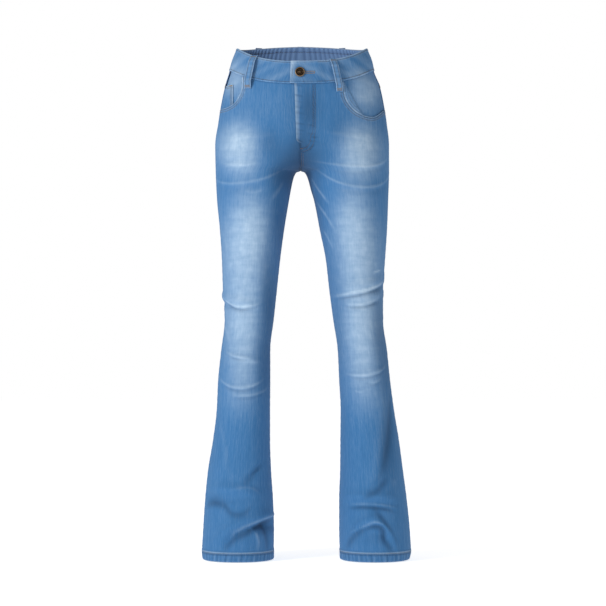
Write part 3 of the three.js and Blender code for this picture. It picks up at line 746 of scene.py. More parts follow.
def new_object(name, points, faces, smooth_faces=True, sharp=True):
    """A mesh object in metres, from points in millimetres and the corners of its faces."""
    mesh = bpy.data.meshes.new(name)
    mesh.from_pydata((np.asarray(points) * MM).tolist(), [], faces)
    mesh.polygons.foreach_set("use_smooth", [smooth_faces] * len(mesh.polygons))
    if sharp:
        mesh.set_sharp_from_angle(angle=SHARP_TURN)
    made = bpy.data.objects.new(name, mesh)
    bpy.context.scene.collection.objects.link(made)
    return made


def grid_quads(rows, columns, ring):
    """Corner numbers of a grid's faces, and of its open edges in order."""
    number = np.arange(rows * columns).reshape(rows, columns)
    right = np.roll(number, -1, axis=1)
    cells = np.stack([number[:-1], right[:-1], right[1:], number[1:]], -1)
    if ring:
        edges = [number[0], number[-1][::-1]]
    else:
        cells = cells[:, :-1]
        edges = [np.concatenate([number[0], number[1:, -1], number[-1, -2::-1], number[-2:0:-1, 0]])]
    return cells.reshape(-1, 4), edges


def rim_quads(first, second):
    """Faces that join two loops of points."""
    return np.stack([np.roll(first, -1), first, second, np.roll(second, -1)], -1)


def edge_directions(front, ring):
    """At each grid point, the direction out of the grid at the nearest edge."""
    away = np.zeros(front.shape)
    if not ring:
        away[:, 0] += unit(front[:, 0] - front[:, 1])
        away[:, -1] += unit(front[:, -1] - front[:, -2])
    away[0] += unit(front[0] - front[1])
    away[-1] += unit(front[-1] - front[-2])
    return unit(away).reshape(-1, 3)


def set_uv(made, places):
    """Stores each point's place on the flat cloth, in metres, as the map called cloth."""
    mesh = made.data
    corners = np.empty(len(mesh.loops), int)
    mesh.loops.foreach_get("vertex_index", corners)
    layer = mesh.uv_layers.new(name="cloth")
    layer.data.foreach_set("uv", (places[corners] * MM).astype(np.float32).ravel())


def set_value(made, key, values):
    layer = made.data.attributes.new(key, "FLOAT", "POINT")
    layer.data.foreach_set("value", np.asarray(values, np.float32))


CLOTH = 1.2
RIM = 0.12
CENTRE_OVERLAP = 0.15
CENTRE_REACH = 0.5


def wall(name, leg, angle, z, out, faded=0.0, dark=0.0, thick=CLOTH, rim=RIM, ring=False, by_seam=False):
    """A closed wall of cloth whose outer face lies out from the worn shape over a grid.

    Grooves and creases would pull the two halves apart at the centre seams, so the points there
    are set back on the middle. By_seam unwraps a band by its way round from the outseam.
    """
    angle, z, out, thick = np.broadcast_arrays(angle, z, out, thick)
    normal = face_normal(leg, angle, z)
    front = face(leg, angle, z) + normal * out[..., None]
    behind = front - normal * thick[..., None]
    edge_x = face(leg, angle[:, 0], z[:, 0], with_folds=False)[:, 0]
    centre = (np.abs(edge_x) < CENTRE_REACH) & (z[:, 0] > CROTCH)
    for layer in (front, behind):
        layer[centre, 0, 0] = -SIDE[leg] * CENTRE_OVERLAP
    base_faded, base_dark = dye_and_painted_shade(leg, angle, z)
    values = {"faded": np.clip(base_faded + faded, 0, 1), "dark": np.clip(base_dark + dark, 0, 1)}
    place = cloth_place(leg, angle, z)
    if by_seam:
        place = np.stack([from_outseam(leg, angle, z), z], -1)
    return wall_between(name, front, behind, place, rim, ring, values, SIDE[leg])


def wall_between(name, front, behind, place, rim, ring, values, turn):
    """Joins an outer and an inner grid of points into one closed wall."""
    rows, columns = front.shape[:2]
    cells, edges = grid_quads(rows, columns, ring)
    count = rows * columns
    outer, inner = front.reshape(-1, 3), behind.reshape(-1, 3)
    rims = np.concatenate(edges)
    middle = (outer[rims] + inner[rims]) / 2 + edge_directions(front, ring)[rims] * rim
    quads = [cells, cells[:, ::-1] + count]
    start = 2 * count
    for edge in edges:
        loop = start + np.arange(len(edge))
        quads += [rim_quads(edge, loop), rim_quads(loop, edge + count)]
        start += len(edge)
    faces = np.concatenate(quads)[:, ::turn].tolist()
    made = new_object(name, np.concatenate([outer, inner, middle]), faces)
    flat = place.reshape(-1, 2)
    set_uv(made, np.concatenate([flat, flat, flat[rims]]))
    for key, value in values.items():
        value = np.broadcast_to(value, (rows, columns)).reshape(-1)
        set_value(made, key, np.concatenate([value, value, value[rims]]))
    side = np.zeros(len(made.data.polygons), int)
    side[len(cells) : 2 * len(cells)] = 1
    made.data.polygons.foreach_set("material_index", side)
    return made


# %% [markdown]
# ## Materials
# All of the cloth is denim: a cotton and elastane twill with blue warp yarns over white weft. The
# right side is blue with fine streaks down the leg where yarns are thicker, and the reverse is
# pale. The thread is a spun polyester, and the button and the zip slider are brass with an antique
# bronze finish. Cotton has an IOR of about 1.53 and no gloss, with a soft sheen from its fibres.

# %% Helpers for materials
def linear(code):
    """An sRGB hex colour as linear red, green, blue and alpha."""
    parts = [int(code[i : i + 2], 16) / 255 for i in (1, 3, 5)]
    return tuple(p / 12.92 if p <= 0.04045 else ((p + 0.055) / 1.055) ** 2.4 for p in parts) + (1.0,)


def add_node(material, kind, inputs=None, **settings):
    """Adds one node with its settings. An input is a value, or a node whose result goes in."""
    tree = material.node_tree
    made = tree.nodes.new(kind)
    for key, value in settings.items():
        setattr(made, key, value)
    for key, value in (inputs or {}).items():
        if isinstance(value, bpy.types.Node):
            tree.links.new(value.outputs[0], made.inputs[key])
        elif isinstance(value, bpy.types.NodeSocket):
            tree.links.new(value, made.inputs[key])
        else:
            made.inputs[key].default_value = value
    return made


def new_material(name):
    """A material and the surface shader that it starts with."""
    material = bpy.data.materials.new(name)
    material.use_nodes = True
    return material, material.node_tree.nodes["Principled BSDF"]


def feed(material, node, shader, key):
    """Links a node's result to one of the shader's inputs."""
    material.node_tree.links.new(node.outputs[0], shader.inputs[key])


def set_inputs(shader, values):
    """Sets constant values on the shader's own inputs."""
    for key, value in values.items():
        shader.inputs[key].default_value = value


# %% [markdown]
# ### Denim
# Noise that is stretched along the leg makes the streaks of the warp, a wave across it makes the
# twill, and the numbers faded and dark choose between three blues.

# %% Denim
# The twill lines of real denim lie about 0.8 mm apart. They are drawn coarser, at 1.3 mm, and so is
# the finest warp grain, because a pixel of the photo covers 2 mm.
COTTON_IOR = 1.53
TWILL_PITCH = 1.3
TWILL_LEAN = math.radians(63)
WARP_GRAIN = {"fine": (0.9, 14), "broad": (3.2, 60), "mottled": (14, 20), "whiskered": (60, 13)}


def grain_noise(material, place, name, detail):
    """Noise over the cloth whose grain is given in millimetres, across and along."""
    across, long = WARP_GRAIN[name]
    scale = (1 / (across * MM), 1 / (long * MM), 1)
    spread = add_node(material, "ShaderNodeVectorMath", {0: place, 1: scale}, operation="MULTIPLY")
    inputs = {"Vector": spread, "Scale": 1.0, "Detail": detail, "Roughness": 0.6}
    return add_node(material, "ShaderNodeTexNoise", inputs, noise_dimensions="2D")


def denim(name, blue, pale, deep, streaks=1.0):
    """Twill with its blue, the colour that it fades to, and the colour that dark mixes to, for dye that
    stays and for painted shade.
    """
    material, shader = new_material(name)
    place = add_node(material, "ShaderNodeUVMap", uv_map="cloth")
    values = {}
    for key in ("faded", "dark"):
        values[key] = add_node(material, "ShaderNodeAttribute", attribute_name=key).outputs["Fac"]
    grains = {key: grain_noise(material, place, key, 3) for key in WARP_GRAIN}
    spans = {
        "fine": (-0.055 * streaks, 0.055 * streaks),
        "broad": (-0.04 * streaks, 0.05 * streaks),
        "mottled": (0.86, 1.1),
        "whiskered": (0.84, 1.1),
    }
    for key, (low, high) in spans.items():
        inputs = {"Value": grains[key], "From Min": 0.3, "From Max": 0.7, "To Min": low, "To Max": high}
        grains[key + "_span"] = add_node(material, "ShaderNodeMapRange", inputs)
    faded = values["faded"]
    for kind, key in (("MULTIPLY", "mottled"), ("MULTIPLY", "whiskered"), ("ADD", "fine"), ("ADD", "broad")):
        faded = add_node(material, "ShaderNodeMath", {0: faded, 1: grains[key + "_span"]}, operation=kind)
    ramp = add_node(material, "ShaderNodeValToRGB", {"Fac": faded})
    ramp.color_ramp.elements[0].color = linear(blue)
    ramp.color_ramp.elements[1].color = linear(pale)
    inputs = {"Value": faded, "From Min": -0.12, "From Max": 0.0, "To Min": 0.2, "To Max": 0.0}
    less = add_node(material, "ShaderNodeMapRange", inputs)
    darker = add_node(material, "ShaderNodeMath", {0: values["dark"], 1: 0.85}, operation="MULTIPLY")
    darker = add_node(material, "ShaderNodeMath", {0: darker, 1: less}, operation="MAXIMUM")
    inputs = {"Fac": darker, "Color1": ramp, "Color2": linear(deep)}
    feed(material, add_node(material, "ShaderNodeMixRGB", inputs), shader, "Base Color")
    leaning = add_node(material, "ShaderNodeVectorRotate", {"Vector": place, "Angle": TWILL_LEAN})
    inputs = {"Vector": leaning, "Scale": 1 / (TWILL_PITCH * MM) / math.tau, "Distortion": 0.6}
    twill = add_node(material, "ShaderNodeTexWave", inputs).outputs["Fac"]
    low_twill = add_node(material, "ShaderNodeMath", {0: twill, 1: 0.35}, operation="MULTIPLY")
    height = add_node(material, "ShaderNodeMath", {0: low_twill, 1: grains["fine"]}, operation="ADD")
    inputs = {"Height": height, "Strength": 0.35, "Distance": 0.25 * MM}
    feed(material, add_node(material, "ShaderNodeBump", inputs), shader, "Normal")
    set_inputs(shader, {"Roughness": 0.88, "IOR": COTTON_IOR, "Specular IOR Level": 0.25})
    set_inputs(shader, {"Sheen Weight": 0.12, "Sheen Roughness": 0.5, "Sheen Tint": linear("#a9c4e4")})
    return material


washed_denim = denim("washed_denim", blue="#3b71a4", pale="#aec6dc", deep="#1b3554")
denim_reverse = denim("denim_reverse", blue="#6d86ac", pale="#b4c3da", deep="#3f5680", streaks=0.6)
gathered_denim = denim("gathered_denim_reverse", blue="#7299cc", pale="#b6cbea", deep="#33518a", streaks=0.6)


# %% [markdown]
# ### Thread and tape
# Dull polyester, a little lighter and darker along its twist. The bar tacks use a lighter thread.

# %% Thread and tape
def spun_polyester(name, color):
    """Spun polyester, dull and slightly uneven in colour along its twist."""
    material, shader = new_material(name)
    mottled = add_node(material, "ShaderNodeTexNoise", {"Scale": 900.0, "Detail": 1.0})
    inputs = {"Value": mottled, "From Min": 0.3, "From Max": 0.7, "To Min": 0.75, "To Max": 1.2}
    uneven_light = add_node(material, "ShaderNodeMapRange", inputs)
    inputs = {"Fac": 1.0, "Color1": linear(color), "Color2": uneven_light}
    twisted = add_node(material, "ShaderNodeMixRGB", inputs, blend_type="MULTIPLY")
    feed(material, twisted, shader, "Base Color")
    set_inputs(shader, {"Roughness": 0.6, "Sheen Weight": 0.2})
    return material


brown_thread = spun_polyester("brown_polyester_thread", "#4e4034")
tan_thread = spun_polyester("tan_polyester_thread", "#8f7a5e")
navy_tape = spun_polyester("navy_polyester_tape", "#23395f")


# %% [markdown]
# ### Antique bronze
# Brass is plated dark and then rubbed. The pointiness of the surface tells edges from hollows.

# %% Antique bronze
def antique_bronze(name, bright, dull):
    """Brass plated dark and then rubbed, so that edges shine and hollows stay nearly black."""
    material, shader = new_material(name)
    clouds = add_node(material, "ShaderNodeTexNoise", {"Scale": 420.0, "Detail": 3.0})
    edges = add_node(material, "ShaderNodeNewGeometry").outputs["Pointiness"]
    rubbed = add_node(material, "ShaderNodeMapRange", {"Value": edges, "From Min": 0.49, "From Max": 0.56})
    inputs = {"Value": clouds, "From Min": 0.3, "From Max": 0.7, "To Min": 0.5, "To Max": 1.1}
    patchy = add_node(material, "ShaderNodeMapRange", inputs)
    amount = add_node(material, "ShaderNodeMath", {0: rubbed, 1: patchy}, operation="MULTIPLY")
    inputs = {"Fac": amount, "Color1": linear(dull), "Color2": linear(bright)}
    feed(material, add_node(material, "ShaderNodeMixRGB", inputs), shader, "Base Color")
    inputs = {"Value": clouds, "From Min": 0.3, "From Max": 0.7, "To Min": 0.3, "To Max": 0.48}
    feed(material, add_node(material, "ShaderNodeMapRange", inputs), shader, "Roughness")
    set_inputs(shader, {"Metallic": 1.0})
    return material


bronze = antique_bronze("antique_bronze", bright="#9c856b", dull="#241b15")
print("materials", [material.name for material in bpy.data.materials if material.use_nodes])


def dress(piece, slot, materials, *nodes):
    """Gives a piece its materials and hides the solids that it stands for. The slot is not used."""
    for material in materials:
        piece.data.materials.append(material)
    if nodes:
        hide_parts(*nodes)
    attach(piece, "root")
    return piece


def declare_sheet(piece):
    """Prints the size that a piece's pattern has on the flat cloth, and its area."""
    mesh = piece.data
    flat = np.empty(len(mesh.loops) * 2)
    mesh.uv_layers["cloth"].data.foreach_get("uv", flat)
    flat = flat.reshape(-1, 2)
    area = 0.0
    for polygon in mesh.polygons:
        if polygon.material_index == 0:
            corners = flat[polygon.loop_start : polygon.loop_start + polygon.loop_total]
            ahead = np.roll(corners, -1, axis=0)
            area += abs(np.sum(corners[:, 0] * ahead[:, 1] - ahead[:, 0] * corners[:, 1])) / 2
    wide, long = np.ptp(flat[:, 0]), np.ptp(flat[:, 1])
    area = min(area, wide * long)
    size = [round(float(side) * 1000) for side in (wide, long)]
    print(piece.name, size, "mm,", round(area * 1e4), "cm2")


DENIM = (washed_denim, denim_reverse)

# %% [markdown]
# ## Leg backs
# Each back is one panel from the yoke down to the hem. Its rows of points are closer together at
# the crotch, where the shape changes fast, and its columns are closer at the seams.

# %% Build the leg backs
PANEL_COLUMNS = 84
SEAM_CROWDING = 0.5
LEG_ROW = 2.7
CROTCH_ROW = 0.6
ROW_GROWTH = 0.06
SEAM_DIP = 2.5
CENTRE_PASSES = 4


def crowded(count):
    """Steps from 0 to 1 that are closer together at both ends."""
    t = np.linspace(0, 1, count)
    return mix(t, (1 - np.cos(math.pi * t)) / 2, SEAM_CROWDING)


def leg_heights(top):
    """Heights of a panel's rows down to the hem."""
    heights = [top]
    while heights[-1] > HEM_TOP:
        near = abs(heights[-1] - CROTCH)
        heights.append(heights[-1] - min(LEG_ROW, CROTCH_ROW + ROW_GROWTH * near))
    heights[-1] = HEM_TOP
    return np.array(heights)


def seam_relief(leg, angle, z):
    """A shallow dip along the inseam and the outseam, with the ropes that puckers make."""
    to_out, to_in = seam_distances(leg, angle, z)
    ropes = roping(leg, angle, z)
    dip = bell(to_out, SEAM_DIP) + bell(to_in, SEAM_DIP) * (z < CROTCH)
    return 0.36 * ropes - 0.5 * dip


def seat_seam(x):
    """The seam up the middle of the seat lies in a groove with a row of thread beside it, and the groove is
    darkened with painted shade.
    """
    return -0.6 * bell(x, 2.2), 0.6 * bell(x, 2.0)


def leg_back(leg):
    """The top rows follow the yoke. The centre edge's angle and height depend on each other."""
    at_side = yoke_seam(180.0)
    level = leg_heights(at_side + MEET)[:, None]
    sink = smooth(ROWS_LEVEL_BELOW, at_side, level)
    middle = np.full(level.shape, 270.0)
    for _ in range(CENTRE_PASSES):
        middle = angle_at(leg, 0, level + (yoke_seam(middle) - at_side) * sink, True)
    angle = mix(middle, 180, crowded(PANEL_COLUMNS)[None, :])
    z = level + (yoke_seam(angle) - at_side) * sink
    x = SIDE[leg] * face(leg, angle, z, with_folds=False)[..., 0]
    groove, line = seat_seam(x)
    above = z > CROTCH
    out = seam_relief(leg, angle, z) + groove * above
    # The seat seam's groove gets painted shade.
    piece = wall(leg + "_back", leg, angle, z, out=out, dark=line * above)
    return dress(piece, "denim", DENIM, "back_" + leg)


backs = {leg: leg_back(leg) for leg in SIDE}
print("back panels", [len(piece.data.polygons) for piece in backs.values()], "faces")

# %% [markdown]
# ## Leg fronts
# Each front is cut away at the top corner in a scoop, the mouth of the pocket. Instead of cutting
# a hole afterwards, the grid's top row follows the waist seam and then the scoop, so that the edge
# of the mouth is a clean line of points. The edge is turned under and sewn down with two rows, so
# it is thicker for 9 mm, and washing has rubbed its very edge white.

# %% The pocket mouths
mouths = {
    "left": table(
        "x z",
        (84.5, -40), (85, -70), (88.5, -102), (98.5, -121), (113, -134),
        (131, -141), (148, -141), (162, -131), (176, -116),
    ),
    "right": table(
        "x z",
        (115, -30), (115.5, -64), (115.5, -80), (120.5, -98), (131, -113),
        (144, -121), (158, -123), (172, -119),
    ),
}
SPLINE_STEPS = 12


def spline(points):
    """A smooth line through points."""
    padded = np.vstack([2 * points[0] - points[1], points, 2 * points[-1] - points[-2]])
    line = []
    for i in range(1, len(padded) - 2):
        a, b, c, d = padded[i - 1 : i + 3]
        for t in np.arange(SPLINE_STEPS) / SPLINE_STEPS:
            ahead = 2 * b + (c - a) * t + (2 * a - 5 * b + 4 * c - d) * t**2
            line.append((ahead + (3 * b - a - 3 * c + d) * t**3) / 2)
    return np.vstack([line, padded[-2]])


def travelled(line):
    """The distance along a line at each of its points."""
    return np.concatenate([[0], np.cumsum(np.linalg.norm(np.diff(line, axis=0), axis=1))])


def at_distances(line, distances):
    """Points of a line at distances along it."""
    length = travelled(line)
    return np.stack([np.interp(distances, length, values) for values in line.T], -1)


def evenly(line, count):
    """The same line with its points at even steps along it."""
    return at_distances(line, np.linspace(0, travelled(line)[-1], count))


def mouth_line(leg, count):
    """The pocket mouth as angles and heights, from the waist seam to the outseam."""
    line = spline(np.stack([mouths[leg]["x"], mouths[leg]["z"]], -1))
    angle = angle_at(leg, line[:, 0], line[:, 1], False)
    line = line[line[:, 1] < band_seam(angle) + MEET]
    line = line[line[:, 0] < read(outline, leg + "_out", line[:, 1]) - 0.05]
    line = evenly(line, count)
    angle = angle_at(leg, line[:, 0], line[:, 1], False)
    angle[-1] = 180
    z = line[:, 1].copy()
    z[0] = band_seam(angle[0]) + MEET
    return angle, z


mouth_paths = {leg: mouth_line(leg, 90) for leg in SIDE}


def mouth_distance(leg, points):
    """Distance from each point to the pocket mouth's edge."""
    edge = face(leg, *mouth_paths[leg], with_folds=False)
    nearest = np.full(points.shape[:-1], 1e9)
    for spot in edge:
        nearest = np.minimum(nearest, np.linalg.norm(points - spot, axis=-1))
    return nearest


def sewn_edge(distance, rows, turned):
    """Relief, fade and darkness beside an edge that is turned under and sewn in rows; the darkness is
    painted shade in the stitch grooves and dye kept there.
    """
    ridge = 0.55 * (1 - smooth(turned - 1.5, turned + 1.0, distance))
    rounding = 0.5 * bell(distance, 0.7)
    # The stitch grooves are darkened, partly as dye kept in them and partly as painted shade.
    grooves = sum(bell(distance - row, 0.8) for row in rows)
    faded = 0.5 * bell(distance, 1.1) + 0.12 * (distance < turned)
    return ridge - rounding - 0.35 * grooves, faded, 0.5 * np.minimum(grooves, 1)


# %% [markdown]
# ### The fronts
# The left front reaches past the middle and lies higher there, over the zip. Two rows of thread
# hold its facing, and the cloth sinks a little under them.

# %% Build the leg fronts
MOUTH_SHARE = 0.42
UPPER_LEVEL = -200
MOUTH_ROWS = (2.6, 7.4)
MOUTH_TURNED = 9
TOP_ROWS = 56
SEAM_SPACING = 1.15
FLY_PUCKER = 11
PUCKERS_END = (8, -2)
FACING_SIDE = (31, 26)
FACING_FOOT = (-214, -196)


def top_steps(count):
    """Steps down from the top edge, the first ones under 1 mm apart."""
    t = np.linspace(0, 1, count)
    return mix(t, t**2, 0.72)


fly_rows = {
    "outer": [(29, -80), (29, -170), (27.6, -178), (27.2, -192), (21.8, -205), (11.5, -212), (3.5, -212.5)],
    "inner": [(24.8, -80), (24.8, -168), (20.5, -180), (18.9, -194), (11.5, -205), (4.5, -206)],
}


def row_distance(row, x, z):
    """Distance of each point from a row of sewing, in the plane of the front."""
    nearest = np.full(np.shape(x), 1e9)
    for spot in evenly(spline(np.array(fly_rows[row], float)), 90):
        nearest = np.minimum(nearest, np.hypot(x - spot[0], z - spot[1]))
    return nearest


def front_grid(leg):
    """Angles and heights of a front's points. Its top row runs along the waist seam and the mouth."""
    on_mouth = int(PANEL_COLUMNS * MOUTH_SHARE)
    on_seam = PANEL_COLUMNS - on_mouth
    split = on_seam - 1
    mouth_angle, mouth_z = mouth_line(leg, on_mouth + 1)

    def inner_angle(z):
        return angle_at(leg, fly_edge(z) if leg == "left" else 0, z, False)

    first = inner_angle(np.array(-BAND_DEEP - WAIST_DROP - 2.0))
    along_seam = mix(first, mouth_angle[0], np.linspace(0, 1, on_seam) ** SEAM_SPACING)
    top_angle = np.concatenate([along_seam, mouth_angle[1:]])
    top_z = np.concatenate([band_seam(along_seam) + MEET, mouth_z[1:]])
    v = top_steps(TOP_ROWS)[:, None]
    z = mix(top_z[None, :], UPPER_LEVEL, v)
    bottom = mix(inner_angle(np.array(float(UPPER_LEVEL))), 180, crowded(PANEL_COLUMNS))
    share = ((along_seam - first) / (along_seam[-1] - first))[None, :]
    share = mix(share, (bottom[: split + 1] - bottom[0]) / (bottom[split] - bottom[0]), v)
    inner = mix(inner_angle(z[:, :1]), mix(top_angle[split], bottom[split], v), share)
    outer = mix(top_angle[None, split + 1 :], bottom[None, split + 1 :], v)
    level = leg_heights(UPPER_LEVEL)[1:, None]
    lower = mix(inner_angle(level), 180, crowded(PANEL_COLUMNS)[None, :])
    angle = np.vstack([np.concatenate([inner, outer], axis=1), lower])
    return angle, np.vstack([z, np.broadcast_to(level, lower.shape)])


def fly_overlap(x, z):
    """Relief, fade and darkness of the part of the left front that laps over the zip, the darkness painted
    shade in its stitch grooves and pucker troughs.
    """
    on_fly = smooth(FLY_JOINED, FLY_END, z)
    puckers = 0.35 * uneven(z + 0.2 * x, FLY_PUCKER, 1.0) * smooth(*PUCKERS_END, x) * on_fly
    relief, faded, dark = sewn_edge(np.abs(x - fly_edge(z)), (3.0,), 5)
    sewn = sum(bell(row_distance(row, x, z), 1.1) for row in fly_rows)
    layers = smooth(*FACING_SIDE, x) * smooth(*FACING_FOOT, z)
    out = fly_raise(x, z) + 0.6 * on_fly * relief + puckers - 0.45 * sewn + 0.5 * layers
    # Painted shade: the stitch grooves and the troughs between puckers are darkened.
    return out, on_fly * faded, 0.45 * sewn + 0.5 * on_fly * dark + np.maximum(-puckers, 0)


def leg_front(leg):
    angle, z = front_grid(leg)
    points = face(leg, angle, z, with_folds=False)
    x = SIDE[leg] * points[..., 0]
    in_reach = z > UPPER_LEVEL
    relief, faded, dark = sewn_edge(mouth_distance(leg, points), MOUTH_ROWS, MOUTH_TURNED)
    out = seam_relief(leg, angle, z) + relief * in_reach
    # A painted shadow along the foot of the waistband.
    shadow_under_band = 0.6 * bell(band_seam(angle) - z, 2.0)
    faded, dark = faded * in_reach, (dark + shadow_under_band) * in_reach
    below_fly = smooth(FLY_JOINED + 6, FLY_JOINED - 6, z)
    if leg == "left":
        raised, rubbed, shaded = fly_overlap(x, z)
        out, faded, dark = out + raised, faded + rubbed, dark + shaded
        below_fly = 1 - smooth(FLY_JOINED, FLY_END, z)
    below_fly = below_fly * (z > CROTCH)
    groove, line = seat_seam(x)
    # The seat seam's groove gets painted shade.
    out, dark = out + groove * below_fly, dark + line * below_fly
    piece = wall(leg + "_front", leg, angle, z, out=out, faded=faded, dark=dark)
    return dress(piece, "denim", DENIM, "front_" + leg)


fronts = {leg: leg_front(leg) for leg in SIDE}
print("front panels", [len(piece.data.polygons) for piece in fronts.values()], "faces")

# %% [markdown]
# ## Yokes
# A yoke shapes the seat: its lower edge is longer than its upper one. It is sewn over the leg back,
# so its edge is folded and holds two rows of thread.

# %% Build the yokes
BAND_STEPS = 120
YOKE_STEPS = 34
YOKE_ROWS = (2.4, 7.2)


def yoke(leg):
    start = 360 - float(angle_at(leg, 0, -BAND_DEEP, True))
    angle = 360 - mix(start, 180, np.linspace(0, 1, BAND_STEPS)[None, :])
    lower = yoke_seam(angle)
    z = mix(band_seam(angle) + MEET, lower, crowded(YOKE_STEPS)[:, None])
    x = SIDE[leg] * face(leg, angle, z, with_folds=False)[..., 0]
    relief, faded, dark = sewn_edge(z - lower, YOKE_ROWS, 9)
    groove, line = seat_seam(x)
    puckers = 0.3 * uneven(x, 12, 0.6) * bell(z - lower, 9)
    out = relief * 0.8 + groove + puckers
    # The yoke's stitch grooves and the seat seam's groove get painted shade.
    piece = wall(leg + "_yoke", leg, angle, z, out=out, faded=faded * 0.7, dark=dark + line)
    return dress(piece, "denim", DENIM, "yoke_" + leg)


yokes = {leg: yoke(leg) for leg in SIDE}

# %% [markdown]
# ## Pocket facings and the coin pocket
# Behind each scoop a facing of the same denim fills the opening. The wearer's right one carries a
# small coin pocket, whose top edge is turned over and tacked at its corner.

# %% Build the facings and the coin pocket
LAYER_GAP = 0.7
COIN_THICK = 1.0
COIN_OUT = -CLOTH - LAYER_GAP
FACING_OUT = {"left": -CLOTH - LAYER_GAP, "right": COIN_OUT - COIN_THICK - LAYER_GAP}
FACING_LOW = -158
FACING_TUCK = 16
COIN_EDGE = 137
COIN_TOP = -76
COIN_FOOT = -150
COIN_TOP_ROWS = (2.2, 6.0)
COIN_TOP_ROWS_SEWN = (2.2, 5.8)
COIN_SIDE_ROWS = (1.8, 4.4)


def pocket_facing(leg):
    start = float(angle_at(leg, mouths[leg]["x"][0] - FACING_TUCK, -BAND_DEEP, False))
    angle = mix(start, 180, np.linspace(0, 1, 40))[None, :]
    z = mix(band_seam(angle) + MEET, FACING_LOW, np.linspace(0, 1, 36)[:, None])
    bulge = 0.4 * uneven(angle * 2 + z, 40, 1.7) - 0.4
    piece = wall(leg + "_pocket_facing", leg, angle, z, out=FACING_OUT[leg] + bulge * 0.5)
    return dress(piece, "denim", DENIM, "pocket_facing_" + leg)


def coin_pocket():
    v = crowded(36)[:, None]
    z = mix(COIN_TOP, COIN_FOOT, v) + np.zeros((1, 24))
    start = angle_at("right", COIN_EDGE, z, False)
    angle = mix(start, 180, crowded(24)[None, :])
    x = -face("right", angle, z, with_folds=False)[..., 0]
    top, side = sewn_edge(COIN_TOP - z, COIN_TOP_ROWS, 8), sewn_edge(x - COIN_EDGE, COIN_SIDE_ROWS, 6)
    out = COIN_OUT + np.minimum(top[0], 0) + np.minimum(side[0], 0)
    faded, dark = np.maximum(top[1], side[1]), np.maximum(top[2], side[2])
    piece = wall("coin_pocket_patch", "right", angle, z, out=out, faded=faded, dark=dark, thick=COIN_THICK)
    return dress(piece, "denim", DENIM, "coin_pocket")


facings = {leg: pocket_facing(leg) for leg in SIDE}
coin_patch = coin_pocket()

# %% [markdown]
# ## Back pockets
# Plain patches that narrow downwards to a blunt point, sewn on with two rows round three sides. The
# cloth is folded under at the edge, so the patch is thickest there and slightly hollow inside.

# %% Build the back pockets
PATCH_TOP = -134
PATCH_INNER = 34
PATCH_OUTER = 142
PATCH_TAPER = 8
PATCH_SIDE = 116
PATCH_POINT = 26
PATCH_OUT = 2.4
PATCH_ROWS = (1.8, 6.6)
PATCH_TOP_ROWS = (3.0, 15.0)


def patch_spot(leg, u, v):
    """A place on a back pocket as an angle and a height, from its shares across and down."""
    x = mix(PATCH_INNER + PATCH_TAPER * v, PATCH_OUTER - PATCH_TAPER * v, u)
    z = PATCH_TOP - v * (PATCH_SIDE + PATCH_POINT * (1 - np.abs(2 * u - 1)))
    return angle_at(leg, x, z, True), z


def back_pocket(leg):
    u, v = crowded(64)[None, :], crowded(72)[:, None]
    angle, z = patch_spot(leg, u, v)
    wide = PATCH_OUTER - PATCH_INNER
    to_side = np.minimum(u, 1 - u) * wide
    to_foot = (1 - v) * PATCH_SIDE * 0.9
    to_top = v * PATCH_SIDE
    around = sewn_edge(np.minimum(to_side, to_foot), PATCH_ROWS, 9)
    top = sewn_edge(to_top, PATCH_TOP_ROWS, 18)
    sag = -0.5 * np.sin(math.pi * u) * smooth(0, 0.2, v) * smooth(1, 0.8, v)
    puckers = 0.25 * uneven(z, 10, 0.9) * bell(to_side, 8)
    out = PATCH_OUT + 0.7 * np.minimum(around[0], top[0]) + sag + puckers
    faded = np.maximum(around[1], top[1]) + 0.12 * bell(u - 0.5, 0.3) * bell(v - 0.5, 0.3)
    dark = np.maximum(around[2], top[2] * 0.7)
    piece = wall(leg + "_back_pocket", leg, angle, z, out=out, faded=faded, dark=dark)
    return dress(piece, "denim", DENIM, "back_pocket_" + leg)


back_pockets = {leg: back_pocket(leg) for leg in SIDE}

# %% [markdown]
# ## Waistband
# A folded strip of denim 44 mm deep, in two halves that meet at the back. The left half laps over
# the right one in front. Its top edge is a fold, so it is rounded and worn white, and a row of
# thread follows each edge.

# %% Build the waistband
BAND_OUT = 1.0
BAND_THICK = 2.4
BAND_LIFT = 3.1
BAND_END = {"left": -19, "right": 18}
BAND_ROWS = 34
BUTTON_X = -1
BUTTON_Z = -56
SLIT_END = 27
SLIT_WIDE = 1.2
HOLE_RADIUS = 4.2
CUTTER_REACH = (-110, -80)


